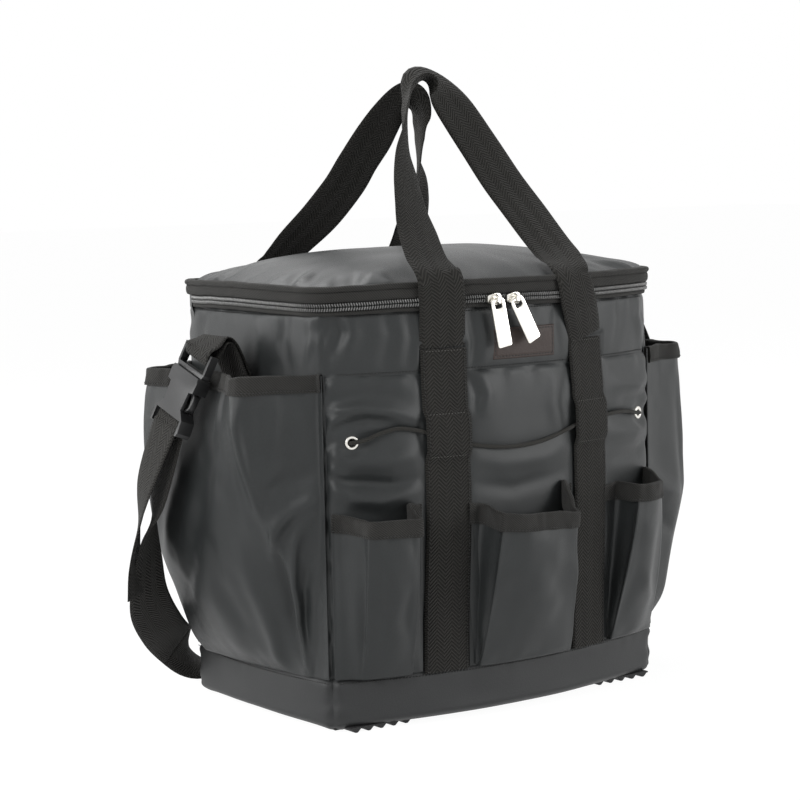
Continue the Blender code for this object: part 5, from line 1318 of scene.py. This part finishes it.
# Folds by place round the pocket (0 and 3 at the seams, 1 and 2 on the creases) and height; then width and height.
SIDE_FOLDS = {
    "left": [
        ([(1.10, 0.255), (1.08, 0.206), (1.09, 0.165)], 0.0070, -0.0034),
        ([(0.82, 0.250), (0.80, 0.215), (0.84, 0.184)], 0.0080, -0.0038),
        ([(0.03, 0.181), (0.31, 0.173), (0.56, 0.165), (0.81, 0.155), (1.04, 0.136)], 0.0055, 0.0044),
        ([(0.05, 0.200), (0.35, 0.194), (0.70, 0.182), (0.96, 0.166)], 0.0070, -0.0030),
        ([(0.95, 0.140), (1.01, 0.120), (1.03, 0.090), (0.94, 0.054)], 0.0060, -0.0052),
        ([(0.22, 0.166), (0.51, 0.144), (0.74, 0.112), (0.80, 0.082), (0.64, 0.060)], 0.0055, 0.0042),
        ([(0.12, 0.140), (0.41, 0.111), (0.58, 0.084), (0.52, 0.058)], 0.0060, -0.0040),
        ([(0.06, 0.118), (0.26, 0.090), (0.34, 0.062)], 0.0055, 0.0028),
        ([(1.24, 0.140), (1.23, 0.107), (1.20, 0.084), (1.19, 0.059), (1.17, 0.041)], 0.0060, 0.0032),
        ([(1.40, 0.150), (1.42, 0.110), (1.36, 0.070)], 0.0080, -0.0024),
        ([(1.31, 0.225), (1.42, 0.175), (1.59, 0.125), (1.91, 0.076)], 0.0100, -0.0032),
        ([(1.60, 0.200), (1.74, 0.150), (1.90, 0.110)], 0.0080, 0.0026),
        ([(1.30, 0.262), (1.28, 0.240), (1.32, 0.216)], 0.0050, 0.0018),
        ([(0.50, 0.262), (0.46, 0.242), (0.52, 0.218)], 0.0050, 0.0020),
        ([(0.62, 0.250), (0.60, 0.232), (0.66, 0.208)], 0.0040, -0.0018)],
    "right": [
        ([(1.02, 0.258), (1.02, 0.206), (1.02, 0.150), (1.03, 0.080), (1.02, 0.046)], 0.0026, 0.0010),
        ([(1.12, 0.250), (1.10, 0.200), (1.12, 0.140)], 0.0070, -0.0030),
        ([(0.84, 0.250), (0.80, 0.200), (0.84, 0.150)], 0.0080, -0.0030),
        ([(1.05, 0.150), (1.30, 0.120), (1.60, 0.110), (1.95, 0.130)], 0.0080, 0.0034),
        ([(1.10, 0.120), (1.40, 0.090), (1.70, 0.084), (1.95, 0.100)], 0.0070, -0.0032),
        ([(0.15, 0.170), (0.45, 0.150), (0.80, 0.140)], 0.0070, 0.0034),
        ([(0.15, 0.145), (0.50, 0.120), (0.85, 0.110)], 0.0060, -0.0032),
        ([(1.20, 0.225), (1.45, 0.190), (1.80, 0.180)], 0.0080, -0.0026),
        ([(2.10, 0.180), (2.50, 0.150), (2.85, 0.160)], 0.0080, 0.0030)],
}
print("folds of the side pockets:", len(SIDE_FOLDS["left"]), "and", len(SIDE_FOLDS["right"]))

# %% [markdown]
# A side pocket is built like a front one, but it goes round from seam to seam as one wide bellows. Where it lies
# on the wall it must not sink into it, so every point keeps at least a millimetre off.

# %% Side pockets
def profile_at(profile, share):
    """Reads smooth values from rows of (share, value, value ...)."""
    fine = curve_through(profile, 12)
    return [np.interp(share, fine[:, 0], fine[:, k]) for k in range(1, fine.shape[1])]


def round_pocket(turn):
    """Length along the cloth, from a place that counts 0 and 3 at the seams and 1 and 2 on the creases."""
    return np.interp(turn, [0, 1, 2, 3], [0, 0.055, 0.188, 0.243])


def side_plan(side, share):
    """The pocket's line at a share of its height: along the wall from front to back, and off the seams."""
    near, middle, far = profile_at(SIDE_PROFILE[side], share)
    edge, (a, b) = SIDE_EDGE, SIDE_CREASES
    key = [(-edge, 0.0), (-edge + 0.003, 0.0003), ((a - edge + 0.003) / 2, near * 0.44),
           (a - 0.0050, near * 0.86), (a + 0.0050, near)]
    for k in range(1, 7):
        chord = near + (far - near) * k / 7
        hollow = math.sin(math.pi * k / 7) ** 1.2
        key.append((a + (b - a) * k / 7, chord + (middle - (near + far) / 2) * hollow))
    key += [(b - 0.0022, far), (b + 0.0022, far * 0.91), ((b + edge - 0.003) / 2, far * 0.48),
            (edge - 0.003, 0.0003), (edge, 0.0)]
    return curve_through(key, SIDE_KEY_STEPS)


def side_pocket(side, sign, seed):
    """One side pocket with its folds and its binding; sign is -1 on the left."""
    rows, turns = [], []
    for share in np.linspace(0, 1, 130):
        z = POCKET_FOOT_Z + (SIDE_MOUTH_Z - POCKET_FOOT_Z) * share
        key = side_plan(side, share)
        x = np.maximum(WIDTH / 2 + key[:, 1], side_x(key[:, 0], z) + 0.0012)
        rows.append(np.column_stack([sign * x, key[:, 0], np.full(len(key), z)]))
        turns.append(np.interp(np.arange(len(key)) / SIDE_KEY_STEPS, [1, 3.5, 11.5, 14], [0, 1, 2, 3]))
    grid, t = np.stack(rows), np.array(turns)
    if sign < 0:
        grid, t = grid[:, ::-1], t[:, ::-1]
    lines = [([(round_pocket(u), z) for u, z in line], wide, height) for line, wide, height in SIDE_FOLDS[side]]
    folds = folded(round_pocket(t), grid[..., 2], lines)
    loose = np.clip((np.abs(grid[..., 0]) - side_x(grid[..., 1], grid[..., 2]) - 0.0014) / 0.006, 0, 1)
    bound_pocket(f"{side}_side_pocket_cloth", grid, [f"{side}_side_pocket"],
                 [f"{side}_side_pocket_trim"], seed, folds * loose)


side_pocket("left", -1, 151)
side_pocket("right", 1, 161)

# %% [markdown]
# ## Elastic cord
#
# The cord comes out of one eyelet, runs under both straps, hangs in a shallow bow between them and ends in the
# other eyelet, with a knot behind each. Its run is a row of places across the front with their height and their
# distance off the wall; a knot is nothing but a swelling of the radius, because nobody sees its turns.

# %% Cord
# Across the bag, height, and distance off the wall.
CORD_RUN = [
    (-0.1330, 0.2225, 0.0052), (-0.1230, 0.2262, 0.0044), (-0.1090, 0.2290, 0.0034), (-0.0950, 0.2270, 0.0028),
    (-0.0840, 0.2240, 0.0024), (-0.0706, 0.2195, 0.0024), (-0.0560, 0.2145, 0.0024), (-0.0440, 0.2118, 0.0028),
    (-0.0220, 0.2088, 0.0040), (0.0000, 0.2085, 0.0044), (0.0220, 0.2110, 0.0040), (0.0440, 0.2160, 0.0028),
    (0.0560, 0.2190, 0.0024), (0.0706, 0.2215, 0.0024), (0.0860, 0.2230, 0.0024), (0.1000, 0.2240, 0.0028),
    (0.1180, 0.2238, 0.0028), (0.1320, 0.2215, 0.0028)]
KNOT = (0.0136, 0.0122, 0.0096, 0.0068, 0.0052, -0.0020)    # distances behind the eyelet
CORD_RADIUS = 0.0016
KNOT_RADII = (CORD_RADIUS, 0.0032, 0.0040, 0.0028, CORD_RADIUS)


def round_cord(name, path, radius, finish, body, stands_for, sides=14):
    """A round cord along a smoothed path, with a radius for each of its points."""
    ahead_of = unit(np.gradient(path, axis=0))
    side = unit(np.cross(ahead_of, UP))
    up = np.cross(side, ahead_of)
    angle = np.linspace(0, 2 * math.pi, sides + 1)[:-1]
    turn = side[:, None] * np.cos(angle)[None, :, None] + up[:, None] * np.sin(angle)[None, :, None]
    ring = path[:, None] + radius[:, None, None] * turn
    add_sheet(name, ring, finish, body, stands_for, np.meshgrid(angle * CORD_RADIUS, walked(path)), ring=True)


def eyelet(sign):
    """Middle of an eyelet on the front wall, and its outward direction."""
    x, step = sign * EYELET_X, 0.001
    slope = (front_at(x + step, EYELET_Z)[0, 1] - front_at(x - step, EYELET_Z)[0, 1]) / (2 * step)
    return front_at(x, EYELET_Z)[0], unit(np.array((slope, -1.0, 0.0)))


ends = [[place - out * d for d in KNOT] for place, out in (eyelet(-1), eyelet(1))]
middle = [front_at(x, z)[0] + (0, -off, 0) for x, z, off in CORD_RUN]
path = curve_through(ends[0] + middle + ends[1][::-1], 8)
swell = np.interp(np.arange(len(path)), [0, 8, 16, 24, 32], KNOT_RADII)
round_cord("braided_cord", path, np.maximum(swell, swell[::-1]), elastic, "bag", ["elastic_cord"])
print("cord's length:", walked(path)[-1].round(3))

# %% [markdown]
# ## Leather patch
#
# The patch is a small piece of thick leather, sewn on all round: its edge is rounded and a groove is pressed in
# where the thread runs. The real one is marked; this one stays bare.

# %% Patch
PATCH_X, PATCH_Z = 0.0024, 0.288
HALF_WIDE, HALF_TALL = 0.030, 0.012

x = np.linspace(-HALF_WIDE, HALF_WIDE, 61)[None, :] + PATCH_X
z = np.linspace(PATCH_Z - HALF_TALL, PATCH_Z + HALF_TALL, 25)[:, None]
near = np.minimum(HALF_WIDE - np.abs(x - PATCH_X), HALF_TALL - np.abs(z - PATCH_Z))
lift = 0.0016 + 0.0008 * (1 - np.exp(-near / 0.0007)) - 0.0005 * np.exp(-((near - 0.0022) / 0.0006) ** 2)
lift = lift + 0.0002 * lumps(x / 0.02, z / 0.01, 171)
patch_grid = front_at(x + 0 * z, z + 0 * x, lift)
back = (0, 0.0022, 0)
edged = np.concatenate([patch_grid[:1] + back, patch_grid, patch_grid[-1:] + back])
edged = np.concatenate([edged[:, :1] + back, edged, edged[:, -1:] + back], 1)
add_sheet("leather_patch", edged, leather, "bag", ["name_patch"])
for line in (patch_grid[2, 2:-2], patch_grid[-3, 2:-2], patch_grid[2:-2, 2], patch_grid[2:-2, -3]):
    stitches("bag", dark_thread, line, (0, -1.0, 0), 0.0030, 0.0021, 0.00045, 0.0001)
print("patch:", patch_grid.shape)

# %% [markdown]
# ## Hard pieces
#
# The buckle, sliders, pulls, eyelets and feet already have their real shape in the frame. What they lack is the
# small round on every edge that catches the light. A copy of the mesh is cleaned up and given a bevel. One pull
# hangs a little askew, as a pull does that was just let go.

# %% Rounded copies of the hard parts
def polish(node, finish, body, width, segments=2, turn=0.0):
    """A copy of a CAD node with its flat faces merged and its edges rounded; turn lets it hang askew."""
    mesh = frame["nodes"][node].data.copy()
    if turn:
        spots = np.array([v.co for v in mesh.vertices])
        top = spots[spots[:, 2] > spots[:, 2].max() - 0.003].mean(0) - (0, 0, 0.003)
        hang = Matrix.Rotation(math.radians(turn), 4, "Y")
        mesh.transform(Matrix.Translation(top) @ hang @ Matrix.Translation(-top))
    mesh.materials.clear()
    mesh.materials.append(finish.material)

    def clean(edited):
        bmesh.ops.remove_doubles(edited, verts=edited.verts, dist=0.00001)
        bmesh.ops.dissolve_limit(edited, angle_limit=math.radians(1.0), verts=edited.verts, edges=edited.edges)
    reshaped(mesh, clean)
    made = bpy.data.objects.new(node + "_finished", mesh)
    bpy.context.scene.collection.objects.link(made)
    mesh.shade_smooth()
    bevel = made.modifiers.new("rounded edges", "BEVEL")
    bevel.width = width
    bevel.segments = segments
    bevel.limit_method = "ANGLE"
    bevel.angle_limit = math.radians(28)
    bevel.harden_normals = True
    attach(made, body)
    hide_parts(node)


# Nodes, finish, slot, the width of the round and its segments, and how far each hangs askew in degrees.
HARD_PARTS = [
    ("left_slider right_slider", nickel, "nickel", 0.0003, 2, (0.0, 0.0)),
    ("left_pull right_pull", nickel, "nickel", 0.0003, 3, (9.0, 0.0)),
    ("left_eyelet right_eyelet", nickel, "nickel", 0.0001, 2, (0.0, 0.0)),
    ("buckle_male_half buckle_female_half", plastic, "buckle_plastic", 0.0006, 3, (0.0, 0.0)),
    ("buckle_front_arm buckle_back_arm", plastic, "buckle_plastic", 0.0007, 3, (0.0, 0.0)),
    ("front_left_foot front_right_foot", rubber, "foot_rubber", 0.0014, 4, (0.0, 0.0)),
    ("back_left_foot back_right_foot", rubber, "foot_rubber", 0.0014, 4, (0.0, 0.0))]
body_of_node = {n: b for b, ns in frame["record"]["behaviour"]["bodies"].items() for n in ns}
for nodes, finish, slot, width, segments, turns in HARD_PARTS:
    for node, turn in zip(nodes.split(), turns):
        polish(node, finish, body_of_node[node], width, segments, turn)

# %% [markdown]
# ## The tab and the shoulder strap
#
# The buckle hangs askew on a short tab, so it has axes of its own: down along it, out of its face and across.
# Places on the buckle are easier to give in those axes than in the bag's. The webbing turns round a bar of each
# half at a small radius and comes back on itself.

# %% The buckle's own axes
lean, swing = math.radians(20), math.radians(15)
BAR = np.array((-0.2130, -0.0090, 0.2850))
ALONG = np.array((-math.sin(lean) * math.cos(swing), math.sin(swing), -math.cos(lean) * math.cos(swing)))
OUT = np.array((-math.cos(lean), 0.0, math.sin(lean)))
ACROSS = np.array((math.sin(lean) * math.sin(swing), math.cos(swing), math.cos(lean) * math.sin(swing)))
LAST_BAR, FOOT = 0.0530, 0.0610      # the female half's bar and foot, from the male half's bar
WRAP = 0.0031                        # radius of the webbing's middle round a bar
LIE = 0.0013                         # height of the webbing's middle where it lies on the floor
Y = (0, 1, 0)


def by_buckle(y, z):
    """A point on the buckle's middle line: along it from the male bar, and out of its face."""
    return BAR + ALONG * y + OUT * z


def round_bar(at, way):
    """Places of webbing that turns round a bar, on the far side of it for way 1 and on the near side for -1."""
    turn = [(at - 0.0005, WRAP), (at + way * WRAP * 0.75, WRAP * 0.66), (at + way * WRAP, 0),
            (at + way * WRAP * 0.75, -WRAP * 0.66), (at - 0.0005, -WRAP)]
    return [(by_buckle(y, z), ACROSS) for y, z in turn]


def free_strap(name, places, body, stands_for, steps=8, thick=WEB_THICK, cut=(0, 0)):
    """Webbing through places that each have a width direction; cut leaves out stretches at its two ends."""
    path = curve_through([p for p, _ in places], steps)
    middle = ribbon_grid(path, curve_through([unit(np.asarray(w, float)) for _, w in places], steps))
    middle = middle[cut[0] * steps:len(middle) - cut[1] * steps]
    floor = middle[..., 2].min(axis=1)
    middle[..., 2] += np.clip(LIE - floor, 0, 1)[:, None]
    print(name, "length:", walked(middle[:, middle.shape[1] // 2])[-1].round(3))
    return strap(name, middle, webbing, body, stands_for, thick)[0]


print("the buckle's axes are square:", abs(ALONG @ OUT) + abs(ALONG @ ACROSS) + abs(OUT @ ACROSS) < 1e-9)

# %% [markdown]
# The tab comes out of the left side pocket, bends over its mouth, turns round the buckle's first bar and goes back
# in beside itself.

# %% Tab
panel_x = float(side_x(-0.011, 0.24)[0])
half_turn = (np.array(Y) + ACROSS) / 2


def off_panel(out, z, y=-0.011):
    """A place beside the left wall, at a distance off it."""
    return (-panel_x - out, y, z)


tab_places = [
    (off_panel(0.0043, 0.232), Y), (off_panel(0.0048, 0.250), Y), (off_panel(0.0140, 0.276), Y),
    (off_panel(0.0215, 0.2925), Y), (off_panel(0.0285, 0.2985, -0.0105), Y),
    (off_panel(0.0355, 0.2955, -0.010), half_turn), (by_buckle(-0.0060, WRAP + 0.0002), ACROSS),
    *round_bar(0.0, 1),
    (off_panel(0.0330, 0.2910, -0.010), half_turn), (off_panel(0.0280, 0.2945), Y), (off_panel(0.0235, 0.2905), Y),
    (off_panel(0.0165, 0.2750), Y), (off_panel(0.0074, 0.250), Y), (off_panel(0.0071, 0.232), Y)]
free_strap("tab_webbing", tab_places, "bag", ["buckle_tab"], 6, WEB_THICK * 0.9)

# %% [markdown]
# The shoulder strap starts as a tail, turns round the buckle's last bar and hangs down in a long loop. It lies
# over the floor behind the bag, where the photograph doesn't show it, and climbs to the right side. It is cut in
# two where the CAD model has a joint, and both pieces share the places round the cut so that they meet exactly.

# %% Shoulder strap
end_places = [
    ((-0.2530, 0.0320, 0.0990), (0.72, 0.66, 0.05)), ((-0.2530, 0.0310, 0.1250), (0.66, 0.72, 0.08)),
    ((-0.2500, 0.0280, 0.1550), (0.50, 0.84, 0.12)), ((-0.2475, 0.0220, 0.1860), (0.24, 0.94, 0.22)),
    (by_buckle(FOOT + 0.0040, WRAP + 0.0010), ACROSS), (by_buckle(LAST_BAR + 0.0030, WRAP), ACROSS),
    *round_bar(LAST_BAR, -1),
    (by_buckle(LAST_BAR + 0.0030, -WRAP), ACROSS), (by_buckle(FOOT + 0.0040, -WRAP - 0.0008), ACROSS),
    ((-0.2375, 0.0200, 0.1750), (0.26, 0.92, 0.28)),
    ((-0.2405, 0.0290, 0.1480), (0.72, 0.64, 0.26)), ((-0.2380, 0.0385, 0.1191), (0.90, 0.40, 0.16)),
    ((-0.2290, 0.0540, 0.0882), (0.97, 0.20, 0.10))]
joint_places = [((-0.2030, 0.0800, 0.0590), (0.96, 0.14, 0.16)), ((-0.1740, 0.1090, 0.0380), (0.90, 0.30, 0.28)),
                ((-0.1440, 0.1330, 0.0170), (0.50, 0.80, 0.30))]
strap_end = free_strap("strap_end_webbing", end_places + joint_places, None, ["shoulder_strap_end"], cut=(0, 1))
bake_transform(strap_end)

behind = 0.1418
sewn_x = float(side_x(-0.005, 0.24)[0]) + 0.0019
rest_places = [
    ((-0.1080, behind, LIE + 0.004), Y), ((-0.0700, behind, LIE), Y), ((0.0700, behind, LIE), Y),
    ((0.1080, behind, LIE + 0.004), Y), ((0.1480, 0.1360, 0.0180), (0.10, 0.80, -0.55)),
    ((0.1900, 0.1130, 0.0400), (-0.05, 0.30, -0.95)), ((0.2310, 0.0850, 0.0740), (-0.15, 0.30, -0.90)),
    ((0.2576, 0.0500, 0.1220), (-0.20, 0.75, -0.55)), ((0.2616, 0.0220, 0.1750), (-0.05, 0.96, -0.15)),
    ((0.2450, 0.0020, 0.2400), Y), ((0.2230, -0.0040, 0.2840), Y), ((0.2080, -0.0050, 0.2990), Y),
    ((0.1960, -0.0050, 0.2940), Y), ((sewn_x + 0.0080, -0.0050, 0.2720), Y), ((sewn_x, -0.0050, 0.2480), Y),
    ((sewn_x, -0.0050, 0.2300), Y)]
free_strap("shoulder_webbing", joint_places + rest_places, "bag", ["shoulder_strap"], cut=(1, 0))

# %% [markdown]
# ## All stitches and teeth
#
# Everything that was gathered becomes one mesh for each body and finish. It has to be the last of the cloth,
# because every piece above adds its own rows.

# %% Building what was gathered
build_gathered()

# %% [markdown]
# ## Light and floor
#
# The bag stands in a white studio. Big soft lamps light it from the left, the right and above, at a level where a
# colour renders about as it is written. The floor and the world look white to the camera and in reflections,
# while the floor keeps a part of the bag's shadow.

# %% Lamps
def lamp(name, place, size, power):
    """A square softbox that looks at the bag."""
    light = bpy.data.lights.new(name, "AREA")
    light.shape = "RECTANGLE"
    light.size = light.size_y = size
    light.energy = power
    made = bpy.data.objects.new(name, light)
    made.location = place
    made.rotation_mode = "QUATERNION"
    made.rotation_quaternion = (Vector((0, 0, 0.2)) - Vector(place)).to_track_quat("-Z", "Y")
    bpy.context.scene.collection.objects.link(made)


lamp("left softbox", (-2.0, -0.5, 1.3), 1.2, 26)
lamp("right softbox", (1.7, -2.0, 0.7), 1.2, 28)
lamp("left rear softbox", (-1.9, 1.3, 0.8), 1.0, 20)
lamp("top softbox", (0.2, 0.9, 2.0), 1.0, 18)
print("lamps:", len(bpy.data.lights))

# %% [markdown]
# A plain white world would light the bag flat from all sides. So the world is dim where it only gives light, and
# white where it is seen: by the camera, in a reflection or through something clear. The floor does the same with
# a share of glow, which leaves the rest of it to take the bag's shadow.

# %% World and floor
def seen_white(nodes):
    """1 where the camera sees the spot, by itself, mirrored or through something clear, and 0 elsewhere."""
    camera_ray, glossy_ray, clear_ray = (
        nodes.node("ShaderNodeLightPath", {}, out=f"Is {kind} Ray") for kind in ("Camera", "Glossy", "Transmission"))
    return camera_ray.most(glossy_ray).most(clear_ray)


world = bpy.data.worlds.new("white studio")
bpy.context.scene.world = world
world.use_nodes = True
world.node_tree.nodes.remove(world.node_tree.nodes["Background"])
sky = Nodes(world.node_tree)
dim = sky.node("ShaderNodeBackground", {}, {"Color": (1, 1, 1), "Strength": 0.24})
white = sky.node("ShaderNodeBackground", {}, {"Color": (1, 1, 1)})
sky.show(sky.node("ShaderNodeMixShader", {}, {0: seen_white(sky), 1: dim, 2: white}), "World Output")

floor_finish = Finish("white floor", (0.88, 0.88, 0.88), 0.9, Specular_IOR_Level=0.1)
plain = Sum(floor_finish, floor_finish.shader.outputs[0])
glow = floor_finish.node("ShaderNodeEmission", {}, {"Color": (1, 1, 1), "Strength": 1.11})
cover = floor_finish.node("ShaderNodeMixShader", {}, {0: seen_white(floor_finish) * 0.86, 1: plain, 2: glow})
floor_finish.show(cover, "Material Output")
bpy.ops.mesh.primitive_plane_add(size=30)
floor = bpy.context.object
floor.name = "studio_floor"
floor.data.materials.append(floor_finish.material)
bpy.context.scene.view_settings.view_transform = "Standard"
print("nodes in the world and the floor:", len(sky.tree.nodes), len(floor_finish.tree.nodes))

# %% [markdown] ## The end of the lesson
# The dressed bag has to stay about as large as its frame, or it would no longer fit where the CAD model fits.
